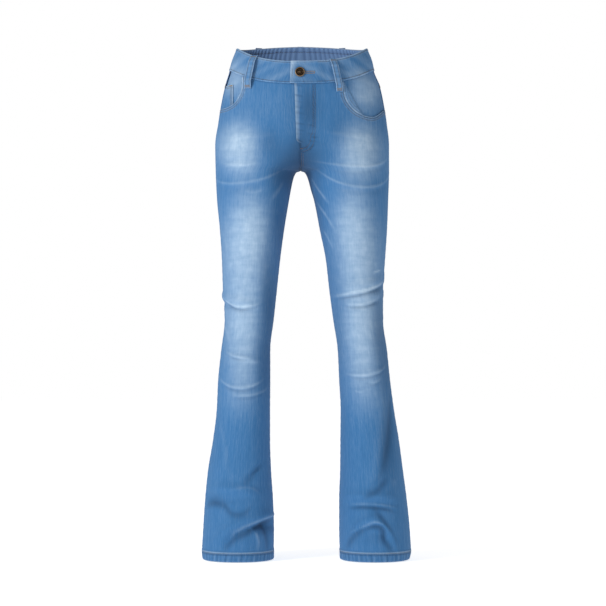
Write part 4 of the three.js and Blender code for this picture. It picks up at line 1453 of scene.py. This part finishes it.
def waistband(leg):
    start = float(angle_at(leg, SIDE[leg] * BAND_END[leg], -BAND_DEEP, False))
    end = float(angle_at(leg, 0, 0, True))
    angle = mix(start, end, np.linspace(0, 1, 2 * BAND_STEPS))[None, :]
    upper, lower = waist_line(angle), band_seam(angle)
    z = mix(upper, lower, crowded(BAND_ROWS)[:, None])
    x = SIDE[leg] * face(leg, angle, z, with_folds=False)[..., 0]
    along = cloth_place(leg, angle, z)[..., 0]
    lift = BAND_LIFT * (1 - smooth(*FLY_FLAT, x)) * (angle < 180) if leg == "left" else 0.0
    top, foot = sewn_edge(upper - z, (2.6,), 5), sewn_edge(z - lower, (2.4,), 4)
    puckers = 0.22 * uneven(along, 9, 1.1) * (bell(upper - z, 6) + bell(z - lower, 6))
    swell = 0.35 * uneven(along + 1.5 * z, 46, 0.2) * np.sin(math.pi * (upper - z) / BAND_DEEP)
    out = BAND_OUT + lift + 0.7 * (top[0] + foot[0]) + puckers + swell
    faded = top[1] * 0.9 + foot[1] * 0.1 + 0.1 + 0.1 * uneven(along + 2 * z, 52, 3.0)
    # Painted shade: the stitch grooves and the troughs between puckers are darker.
    dark = top[2] * 0.5 + foot[2] * 0.6 + np.maximum(-puckers, 0)
    if leg == "left":
        end_edge = sewn_edge(np.where(angle < 90, np.abs(x - BAND_END[leg]), 99.0), (3.0,), 5)
        out, faded = out + 0.6 * end_edge[0], faded + end_edge[1]
    form = {"out": out, "thick": BAND_THICK, "rim": 0.8, "by_seam": True}
    return wall(leg + "_waistband", leg, angle, z, faded=faded, dark=dark, **form)


bands = {leg: waistband(leg) for leg in SIDE}


def keyhole(away, turns):
    """The buttonhole's outline, a round end and a slit, as x and z moved away from its edge."""
    radius, half = HOLE_RADIUS + away, SLIT_WIDE / 2 + away
    begin = math.asin(half / radius)
    turn = np.linspace(begin, 2 * math.pi - begin, turns)
    ring = np.stack([BUTTON_X + radius * np.cos(turn), BUTTON_Z + radius * np.sin(turn)], -1)
    end = SLIT_END + away / 2
    return np.vstack([ring, [(end, BUTTON_Z - half), (end, BUTTON_Z + half)]])


def keyhole_cutter():
    """A straight prism of the buttonhole that reaches through the front of the band."""
    ring = keyhole(0, 22)
    count = len(ring)
    points = [(x, y, z) for y in CUTTER_REACH for x, z in ring]
    sides = [(i, (i + 1) % count, (i + 1) % count + count, i + count) for i in range(count)]
    caps = [tuple(range(count))[::-1], tuple(range(count, 2 * count))]
    return new_object("keyhole", points, sides + caps, smooth_faces=False, sharp=False)


def cut(piece, cutter):
    """Cuts one closed mesh out of another and keeps the result."""
    modifier = piece.modifiers.new("cut", "BOOLEAN")
    modifier.operation = "DIFFERENCE"
    modifier.solver = "EXACT"
    modifier.object = cutter
    depsgraph = bpy.context.evaluated_depsgraph_get()
    result = bpy.data.meshes.new_from_object(piece.evaluated_get(depsgraph))
    piece.modifiers.clear()
    piece.data = result
    bpy.data.objects.remove(cutter)


cut(bands["left"], keyhole_cutter())
for leg, band in bands.items():
    dress(band, "denim", DENIM, "waistband_" + leg)
print("left band has", len(bands["left"].data.polygons), "faces after the buttonhole is cut")

# %% [markdown]
# ## Inner waistband
# Round the back, the inside of the band is gathered onto elastic in fine ribs, and shows above the
# front in the photo. The ribs are on its inner face, 40 of them.

# %% Build the inner waistband
GATHERS = 40
GATHER_DEEP = 0.8
GATHER_STEPS = 7
INNER_SWEEP = 82
INNER_THICK = 1.1
INNER_ROWS = (9, 34)


def inner_waistband():
    halves = []
    for leg in SIDE:
        sweep = np.linspace(0, INNER_SWEEP, GATHERS // 2 * GATHER_STEPS + 1)[None, :]
        angle = 270 - sweep
        z = mix(waist_line(angle) - 1, band_seam(angle) + 2, crowded(22)[:, None])
        depth = waist_line(angle) - z
        turn = 2 * math.pi * sweep / INNER_SWEEP * GATHERS / 2
        rib = 0.5 + 0.5 * np.cos(turn + 0.5 * np.sin(0.11 * z))
        flat = sum(bell(depth - row, 1.6) for row in INNER_ROWS)
        thick = INNER_THICK + GATHER_DEEP * rib * (1 - 0.8 * flat) * smooth(0, 3, depth)
        normal = face_normal(leg, angle, z)
        outer = face(leg, angle, z) + normal * (BAND_OUT - BAND_THICK - LAYER_GAP)
        inner = outer - normal * thick[..., None]
        across = from_outseam(leg, 270, z) - from_outseam(leg, angle, z)
        place = np.stack([SIDE[leg] * across, z], -1)
        shade = 0.5 * (1 - rib) ** 2 + 0.35 * flat
        halves.append((outer, inner, place, shade))
    joined = [np.concatenate([first[:, ::-1], second[:, 1:]], axis=1) for first, second in zip(*halves)]
    outer, inner, place, shade = joined
    values = {"faded": 0.1, "dark": np.clip(shade, 0, 1)}
    piece = wall_between("inner_waistband", outer, inner, place, 0.3, False, values, 1)
    return dress(piece, "denim_inside", (gathered_denim, gathered_denim), "waistband_inner")


inner_band = inner_waistband()

# %% [markdown]
# ## Hems
# The leg ends are turned up and sewn with one row. The fold is thick, and the seam twists it into
# short slanted ropes, light on their crests and dark between.

# %% Build the hems
HEM_THICK = 2.2
HEM_OUT = 0.5
HEM_ROWS = 12
HEM_COLUMNS = 260
HEM_ROPE = 10.5


def hem(leg):
    angle = np.linspace(0, 360, HEM_COLUMNS, endpoint=False)[None, :]
    z = mix(HEM_TOP + MEET, HEM_BOTTOM, crowded(HEM_ROWS)[:, None])
    along = cloth_place(leg, angle, z)[..., 0]
    ropes = uneven(along + 0.2 * z, HEM_ROPE, 0.5) * smooth(HEM_TOP - 4, HEM_TOP - 8, z)
    sewn = sewn_edge(HEM_TOP - z, (4.5,), 99)
    bottom = bell(z - HEM_BOTTOM, 1.2)
    out = HEM_OUT + 0.28 * ropes + 0.5 * sewn[0] - 0.6 * bottom
    faded = 0.02 + 0.16 * np.maximum(ropes, 0) + 0.5 * bell(HEM_TOP - 2.5 - z, 1.6) + 0.15 * bottom
    # The hem is a little darker overall. Its rope troughs and the groove under its row are darkened with
    # painted shade, partly kept dye.
    dark = 0.12 + 0.4 * np.maximum(-ropes, 0) + 0.75 * bell(HEM_TOP - 5.5 - z, 1.3)
    form = {"out": out, "thick": HEM_THICK, "rim": 0.7, "ring": True, "by_seam": True}
    piece = wall(leg + "_hem", leg, angle, z, faded=faded, dark=dark, **form)
    return dress(piece, "denim", DENIM, "hem_" + leg)


hems = {leg: hem(leg) for leg in SIDE}

# %% [markdown]
# ## Belt loops
# Five straps 12 mm wide stand off the band far enough for a belt. Their long edges are folded in
# and sewn with two rows, and each end is tacked down.

# %% Build the belt loops
LOOP_WIDE = 12
LOOP_LONG = 66
LOOP_STAND = 6.8
LOOP_THICK = 1.6
LOOP_FLATNESS = 1.75
LOOP_SETTLE = (0.78, 0.94)
LOOP_ROWS = (0.18, 0.82)
LOOP_TACKS = (0.045, 0.925, 0.965)
loops = {
    "belt_loop_front_right": (-90.5, -104.5, False),
    "belt_loop_front_left": (63.5, 77.5, False),
    "belt_loop_side_right": (-84, -88, True),
    "belt_loop_side_left": (84, 88, True),
    "belt_loop_back": (0, 0, True),
}


def signed_spots(x, z, out, back):
    """Points and normals over places given by a signed x, on either side of the middle."""
    points, normals = np.zeros(x.shape + (3,)), np.zeros(x.shape + (3,))
    out = np.broadcast_to(out, x.shape)
    for leg, here in (("right", x < 0), ("left", x >= 0)):
        if here.any():
            angle = angle_at(leg, np.abs(x[here]), z[here], back)
            normals[here] = face_normal(leg, angle, z[here])
            points[here] = face(leg, angle, z[here]) + normals[here] * out[here][:, None]
    return points, normals


def loop_frame(name, u, v):
    """Signed x, height and stand of places on a belt loop, from shares across and down."""
    top, foot, back = loops[name]
    line = abs(mix(top, foot, 0.5))
    leg = "right" if top < 0 else "left"
    start = float(waist_line(angle_at(leg, line, -BAND_DEEP, back))) + 0.5
    x = mix(top, foot, v) + LOOP_WIDE * (u - 0.5)
    z = start - LOOP_LONG * v
    seat = mix(BAND_OUT + 0.3, LAYER_GAP, smooth(*LOOP_SETTLE, v))
    arch = np.minimum(1, LOOP_FLATNESS * np.sin(math.pi * v))
    return x, z, seat + LOOP_STAND * arch + LOOP_THICK


def belt_loop(name):
    u, v = np.meshgrid(np.linspace(0, 1, 15), np.linspace(0, 1, 64))
    x, z, out = loop_frame(name, u, v)
    from_edge = np.minimum(u, 1 - u) * LOOP_WIDE
    relief, faded, dark = sewn_edge(from_edge, (2.2,), 3.4)
    back = loops[name][2]
    front, normals = signed_spots(x, z, out + 0.5 * relief, back)
    behind = front - normals * LOOP_THICK
    place = np.stack([x, z], -1)
    values = {"faded": np.clip(0.16 + faded * 0.4 + 0.08 * uneven(z, 9, 0.3), 0, 1), "dark": dark * 0.8}
    piece = wall_between(name + "_strap", front, behind, place, 0.5, False, values, -1 if back else 1)
    return dress(piece, "denim", DENIM, name)


straps = {name: belt_loop(name) for name in loops}

# %% [markdown]
# ## Underlap and zip
# Behind the fly, an underlap of denim keeps the zip off the skin, and a woven polyester tape holds
# two nylon coils. They hardly show, but light doesn't leak through the fly with them in place. The
# slider keeps its solid's shape, and only gets the bronze.

# %% Build the underlap and the zip
UNDERLAP = {"x": (-30, 26), "z": (-77.3, -188), "step": (-6, 2), "deep": -5.4}
TAPE = {"x": (3, 21), "z": (-91.3, -188), "out": -1.5, "thick": 1.0}
ZIP_MIDDLE = 12
COIL_PITCH = 1.5
COIL_WIDE = 5.2
COIL_THICK = 0.9
STRIP_ROWS = 60


def flat_grid(x_span, z_span, columns):
    """Signed x and height over a rectangle."""
    across, down = np.linspace(0, 1, columns)[None, :], np.linspace(0, 1, STRIP_ROWS)[:, None]
    return np.broadcast_arrays(mix(*x_span, across), mix(*z_span, down))


def strip(name, x, z, out, thick, slot, materials, node):
    """A flat piece behind the front, over a grid of signed x and height."""
    points, normals = signed_spots(x, z, out, False)
    values = {"faded": 0.05, "dark": 0.35}
    place = np.stack([x, z], -1)
    piece = wall_between(name, points, points - normals * thick, place, 0.1, False, values, 1)
    return dress(piece, slot, materials, node)


x, z = flat_grid(UNDERLAP["x"], UNDERLAP["z"], 36)
out = mix(-CLOTH - LAYER_GAP, UNDERLAP["deep"], smooth(*UNDERLAP["step"], x)) + 0.15 * uneven(z, 30, 0.5)
fly_underlap = strip("underlap", x, z, out, CLOTH, "denim", DENIM, "fly_underlap")
x, z = flat_grid(TAPE["x"], TAPE["z"], 16)
tape = strip("woven_zip_tape", x, z, TAPE["out"], TAPE["thick"], "zip_tape", (navy_tape,), "zip_tape")

# %% [markdown]
# ## Shank button
# A pressed brass button 20 mm across. A real one is stamped from sheet and riveted to a shank. It
# is round, so here it is turned from its profile, as on a lathe: a rolled rim, a dished ring and a
# low middle.

# %% Turn the button
BUTTON_PROFILE = (
    (0, 0), (3.2, 0), (3.2, 3.8), (8.6, 3.8), (9.6, 4.1), (10.1, 4.7), (10.0, 5.6), (9.4, 6.4),
    (8.6, 6.7), (7.9, 6.4), (7.4, 5.7), (6.6, 5.5), (5.4, 5.6), (5.0, 6.0), (4.6, 5.7), (3.0, 5.8),
    (2.4, 6.2), (1.2, 6.4), (0, 6.4),
)
BUTTON_TURNS = 56


def turned(name, profile, origin, axis):
    """A closed form turned about an axis from radii and heights."""
    profile = np.array(profile, float)
    side = unit(np.cross(axis, [0, 0, 1.0]))
    up = np.cross(side, axis)
    turns = np.arange(BUTTON_TURNS) * 2 * math.pi / BUTTON_TURNS
    around = np.cos(turns)[:, None] * side + np.sin(turns)[:, None] * up
    rings = origin + profile[1:-1, None, :1] * around + profile[1:-1, None, 1:] * axis
    points = np.concatenate([rings.reshape(-1, 3), [origin, origin + profile[-1, 1] * axis]])
    cells, _ = grid_quads(len(rings), BUTTON_TURNS, True)
    first, last = len(points) - 2, len(points) - 1
    number = np.arange(BUTTON_TURNS)
    after = np.roll(number, -1)
    start = (len(rings) - 1) * BUTTON_TURNS
    caps = [(first, int(a), int(b)) for a, b in zip(number, after)]
    caps += [(last, int(b) + start, int(a) + start) for a, b in zip(number, after)]
    return new_object(name, points, cells[:, ::-1].tolist() + caps)


button_place = (np.array([float(value)]) for value in (BUTTON_X, BUTTON_Z))
(seat,), (axis,) = signed_spots(*button_place, BAND_OUT + LAYER_GAP, False)
button = turned("shank_button", BUTTON_PROFILE, seat, axis)
dress(button, "bronze", (bronze,), "waist_button")
print("button at", np.round(seat, 1))

# %% [markdown]
# ## Sewing
# Topstitching is a row of separate stitches, each a little under its pitch long, which dive into
# the cloth at both ends. Each is a small capsule of thread. A row is a line of points near a piece,
# and every point is moved to the piece's nearest face, so that the thread lies on the cloth and
# follows its folds. A texture could draw thread too, but real stitches cast the tiny shadows that
# make a seam look sewn. Bar tacks and the buttonhole are the same stitches set crosswise and close.

# %% How thread is laid
PITCH = 3.2
STITCH = 2.5
THREAD = 0.75
THREAD_SIDES = 5
# Each ring of a stitch: its place along it, its size and how far it is lifted off the cloth.
STITCH_RINGS = ((0.0, 0.35, -0.5), (0.2, 1.0, 0.2), (0.8, 1.0, 0.2), (1.0, 0.35, -0.5))
LOOK_FROM = 3.0
sewing = {}


trees = {}


def on_cloth(piece, points):
    """The nearest places on a piece's faces, in millimetres, with their normals."""
    mesh = piece.data
    if piece.name not in trees:
        corners = [vertex.co for vertex in mesh.vertices]
        trees[piece.name] = BVHTree.FromPolygons(corners, [face.vertices for face in mesh.polygons])
    found = [trees[piece.name].find_nearest(Vector(point * MM)) for point in points]
    return np.array([f[0] for f in found]) / MM, np.array([f[1] for f in found])


def sew(group, piece, path, pitch=PITCH, long=STITCH):
    """Adds a row of running stitches on a piece along a path of points."""
    begin = (np.arange(int(travelled(path)[-1] // pitch)) + 0.5) * pitch - long / 2
    starts, normals = on_cloth(piece, at_distances(path, begin))
    ends, _ = on_cloth(piece, at_distances(path, begin + long))
    sewing.setdefault(group, []).append((starts, ends, normals))


def tack(group, piece, path, wide=2.0, pitch=0.8):
    """Adds close crosswise stitches on a piece along a path, as in a bar tack."""
    middle = np.arange(0, travelled(path)[-1], pitch)
    points, normals = on_cloth(piece, at_distances(path, middle))
    ahead = unit(at_distances(path, middle + 0.2) - at_distances(path, middle - 0.2) + 1e-6)
    cross = unit(np.cross(normals, ahead)) * wide / 2
    sewing.setdefault(group, []).append((points - cross, points + cross, normals))


def near(leg, angle, z, out=0.0):
    """Points a little outside the worn shape, from which the nearest cloth is found."""
    angle, z = np.broadcast_arrays(np.asarray(angle, float), np.asarray(z, float))
    return face(leg, angle, z) + face_normal(leg, angle, z) * (LOOK_FROM + out)


# %% Sew the waistband, the loops and the buttonhole
BAND_INSET = 2.6
SHORT_STITCH = (2.8, 2.2)
HOLE_STITCH_IN = 1.3
for leg, band in bands.items():
    first = float(angle_at(leg, SIDE[leg] * BAND_END[leg] + 2.5, -BAND_DEEP, False))
    angle = np.linspace(first, float(angle_at(leg, 0, 0, True)), 260)
    sew("waistband_stitching", band, near(leg, angle, waist_line(angle) - BAND_INSET))
    sew("waistband_stitching", band, near(leg, angle, band_seam(angle) + BAND_INSET))
end_z = np.linspace(-WAIST_DROP - BAND_INSET, -WAIST_DROP - BAND_DEEP + BAND_INSET, 30)
end_angle = angle_at("left", BAND_END["left"] + BAND_INSET, end_z, False)
sew("waistband_stitching", bands["left"], near("left", end_angle, end_z))
for depth in INNER_ROWS:
    for leg in SIDE:
        angle = np.linspace(270, 270 - INNER_SWEEP + 1, 160)
        inside = face(leg, angle, waist_line(angle) - depth) - face_normal(leg, angle, waist_line(angle)) * 9
        sew("waistband_stitching", inner_band, inside)


def on_loop(name, u, v):
    """Points a little outside a belt loop, from shares across and down."""
    x, z, out = loop_frame(name, *np.broadcast_arrays(u, v))
    return signed_spots(x, z, out + 1.0, loops[name][2])[0]


for name, strap in straps.items():
    for u in LOOP_ROWS:
        sew("loop_stitching", strap, on_loop(name, u, np.linspace(0.04, 0.96, 60)), *SHORT_STITCH)
    for v in LOOP_TACKS:
        tack("loop_tacks", strap, on_loop(name, np.linspace(0.1, 0.9, 20), v))
ring = keyhole(HOLE_STITCH_IN, 40)
line = evenly(np.vstack([ring, ring[:1]]), 90)
hole_points, _ = signed_spots(line[:, 0], line[:, 1], BAND_OUT + BAND_LIFT + 1.5, False)
tack("buttonhole_stitching", bands["left"], hole_points, pitch=0.85)


# %% Sew the pocket mouths and the coin pocket
def beside(line, normals, distance, toward):
    """A line moved sideways in the cloth, to the side that toward points to."""
    across = unit(np.cross(normals, unit(np.gradient(line, axis=0))))
    flip = np.sign(np.sum(across * toward, axis=-1, keepdims=True))
    return line + across * flip * distance


for leg, front in fronts.items():
    angle, z = mouth_paths[leg]
    edge, normals = near(leg, angle, z), face_normal(leg, angle, z)
    down_and_in = np.array([-SIDE[leg] * 0.8, 0, -1.0])
    for distance in MOUTH_ROWS:
        sew("pocket_stitching", front, beside(edge, normals, distance, down_and_in)[2:])
coin_across, coin_down = np.linspace(COIN_EDGE + 1.8, 152, 20), np.linspace(COIN_TOP - 2.2, -138, 40)
coin_rows = [(coin_across, COIN_TOP - row) for row in COIN_TOP_ROWS_SEWN]
coin_rows += [(COIN_EDGE + row, coin_down) for row in COIN_SIDE_ROWS]
for x, z in coin_rows:
    sew("pocket_stitching", coin_patch, near("right", angle_at("right", x, z, False), z), *SHORT_STITCH)
x, z = np.linspace(COIN_EDGE + 1, COIN_EDGE + 8, 12), COIN_TOP - 1.6
tack("coin_pocket_tack", coin_patch, near("right", angle_at("right", x, z, False), z))

# %% Sew the fly and the seams
for row in fly_rows.values():
    line = evenly(spline(np.array(row)), 120)
    angle = angle_at("left", line[:, 0], line[:, 1], False)
    sew("fly_stitching", fronts["left"], near("left", angle, line[:, 1]))
bar_x = np.linspace(-5.5, 4.5, 14)
bar, _ = signed_spots(bar_x, np.full(14, -207.5), 3.0, False)
tack("fly_tack", fronts["left"], bar, 2.4)
for x in (1.8, 5.4):
    z = np.linspace(-215, CROTCH + 5, 30)
    sew("seat_stitching", fronts["left"], near("left", angle_at("left", x, z, False), z))
    z = np.linspace(-BAND_DEEP + 8, CROTCH + 8, 120)
    on_yoke = z > yoke_seam(270.0)
    for piece, part in ((yokes["left"], z[on_yoke]), (backs["left"], z[~on_yoke])):
        sew("seat_stitching", piece, near("left", angle_at("left", x, part, True), part))
for leg, piece in yokes.items():
    for inset in YOKE_ROWS:
        angle = np.linspace(360 - float(angle_at(leg, 1, -BAND_DEEP, True)), 181, 160)
        sew("seat_stitching", piece, near(leg, angle, yoke_seam(angle) + inset))

# %% Sew the back pockets and the hems
for leg, patch in back_pockets.items():
    for inset in PATCH_ROWS:
        u, v = inset / (PATCH_OUTER - PATCH_INNER), 1 - inset / PATCH_SIDE
        down = np.linspace(0.01, v, 60)
        over = np.linspace(u, 1 - u, 80)
        us = np.concatenate([np.full(60, u), over, np.full(60, 1 - u)])
        vs = np.concatenate([down, np.full(80, v), down[::-1]])
        angle, z = patch_spot(leg, us, vs)
        sew("back_pocket_stitching", patch, near(leg, angle, z, PATCH_OUT))
    for inset in PATCH_TOP_ROWS:
        angle, z = patch_spot(leg, np.linspace(0.02, 0.98, 80), np.full(80, inset / PATCH_SIDE))
        sew("back_pocket_stitching", patch, near(leg, angle, z, PATCH_OUT))
    for u in (0.02, 0.93):
        angle, z = patch_spot(leg, np.linspace(u, u + 0.05, 12), np.full(12, 0.012))
        tack("back_pocket_tacks", patch, near(leg, angle, z, PATCH_OUT), 2.2)
for leg, piece in hems.items():
    sew("hem_stitching", piece, near(leg, np.linspace(0, 359.5, 400), HEM_TOP - 3.4))
coil_z = np.linspace(TAPE["z"][0] - 4, TAPE["z"][1] + 3, 60)
coil, _ = signed_spots(np.full(60, float(ZIP_MIDDLE)), coil_z, TAPE["out"] + 1.0, False)
tack("zip_coil", tape, coil, COIL_WIDE, COIL_PITCH)


# %% [markdown]
# ### Thread from rows
# All stitches of one kind become one mesh, because thousands of objects would be slow.

# %% Make the stitches
def capsules(name, rows, thick):
    """One mesh of many small closed stitches."""
    starts, ends, normals = (np.concatenate([row[k] for row in rows]) for k in range(3))
    along = ends - starts
    normals = unit(normals)
    side = unit(np.cross(along, normals))
    turns = np.arange(THREAD_SIDES) * 2 * math.pi / THREAD_SIDES
    around = np.cos(turns)[:, None, None] * side + np.sin(turns)[:, None, None] * normals
    rings = []
    for place, size, lift in STITCH_RINGS:
        rings.append(starts + along * place + normals * thick * lift + around * thick / 2 * size)
    points = np.stack(rings).transpose(2, 0, 1, 3).reshape(-1, 3)
    ring_count, count = len(STITCH_RINGS), len(starts)
    number = np.arange(ring_count * THREAD_SIDES).reshape(ring_count, THREAD_SIDES)
    ahead = np.roll(number, -1, axis=1)
    cells = np.stack([number[:-1], ahead[:-1], ahead[1:], number[1:]], -1).reshape(-1, 4)
    faces = []
    for i in range(count):
        base = i * ring_count * THREAD_SIDES
        faces += (cells + base).tolist() + [(number[0][::-1] + base).tolist(), (number[-1] + base).tolist()]
    return new_object(name, points, faces, sharp=False)


tan_groups = ("loop_tacks", "coin_pocket_tack", "buttonhole_stitching")
for group, rows in sewing.items():
    coil_row = group == "zip_coil"
    stitches = capsules(group, rows, COIL_THICK if coil_row else THREAD)
    thread = navy_tape if coil_row else tan_thread if group in tan_groups else brown_thread
    dress(stitches, "zip_tape" if coil_row else "thread", (thread,))
    print(group, sum(len(row[0]) for row in rows), "stitches")

# %% [markdown]
# ## Flat sizes
# The size of what shows of every piece of cloth, laid flat, is printed. The sizes come from the
# places on the flat cloth that each piece's points already carry.

for leg in SIDE:
    for piece, on in ((fronts[leg], yokes[leg]), (backs[leg], yokes[leg]), (yokes[leg], bands[leg])):
        declare_sheet(piece)
    declare_sheet(facings[leg])
    declare_sheet(back_pockets[leg])
    declare_sheet(bands[leg])
    declare_sheet(hems[leg])
declare_sheet(coin_patch)
declare_sheet(inner_band)
declare_sheet(fly_underlap)
declare_sheet(tape)
for name, strap in straps.items():
    declare_sheet(strap)

# %% [markdown]
# ## Stage and light
# A catalogue photo like this is taken on white paper with lamps of its own, so that the paper comes
# out white. Here a glow in the floor's material stands in for those lamps, and the world is white
# where the camera sees it but gives less light. One large soft light stands to the left of the
# camera and a weak one to the right: each leg is darker on one side, and its folds show.

# %% Paper floor
FLOOR_Z = -1031
FLOOR_HALF = 9000
PAPER_GLOW = 0.68
flat_floor = np.array([(x, y, FLOOR_Z) for x, y in ((-1, -1), (1, -1), (1, 1), (-1, 1))], float)
flat_floor[:, :2] *= FLOOR_HALF
floor = new_object("paper_floor", flat_floor, [(0, 1, 2, 3)])
paper, paper_shader = new_material("white_paper")
set_inputs(paper_shader, {"Base Color": linear("#f2f2f2"), "Roughness": 0.95, "Specular IOR Level": 0.1})
set_inputs(paper_shader, {"Emission Color": linear("#ffffff"), "Emission Strength": PAPER_GLOW})
floor.data.materials.append(paper)


# %% [markdown]
# ### Lights
# Both lights are soft discs that face the thighs. The white world fills in the shadows.

# %% Lights
def soft_light(name, size, power, location, aim):
    """A round soft light that faces a point."""
    data = bpy.data.lights.new(name, "AREA")
    data.shape = "DISK"
    data.size = size
    data.energy = power
    light = bpy.data.objects.new(name, data)
    light.location = location
    light.rotation_euler = (Vector(aim) - Vector(location)).to_track_quat("-Z", "Y").to_euler()
    bpy.context.scene.collection.objects.link(light)


THIGHS = (0, 0, -0.5)
WORLD_LIGHT = 0.38
soft_light("key", 1.1, 70, (-2.6, -2.4, 0.8), THIGHS)
soft_light("fill", 2.4, 6, (2.6, -3.2, 0.2), THIGHS)
world = bpy.data.worlds.new("studio")
world.use_nodes = True
seen = add_node(world, "ShaderNodeLightPath").outputs["Is Camera Ray"]
strength = add_node(world, "ShaderNodeMapRange", {"Value": seen, "To Min": WORLD_LIGHT, "To Max": 1.0})
background = world.node_tree.nodes["Background"]
background.inputs["Color"].default_value = (1, 1, 1, 1)
feed(world, strength, background, "Strength")
bpy.context.scene.world = world
bpy.context.scene.view_settings.view_transform = "Standard"

# The zip slider keeps its solid's shape. Any other solid that still shows would get the cloth.
for name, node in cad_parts.items():
    if not node.hide_render:
        node.data.materials.clear()
        node.data.materials.append(bronze if name == "zip_slider" else washed_denim)
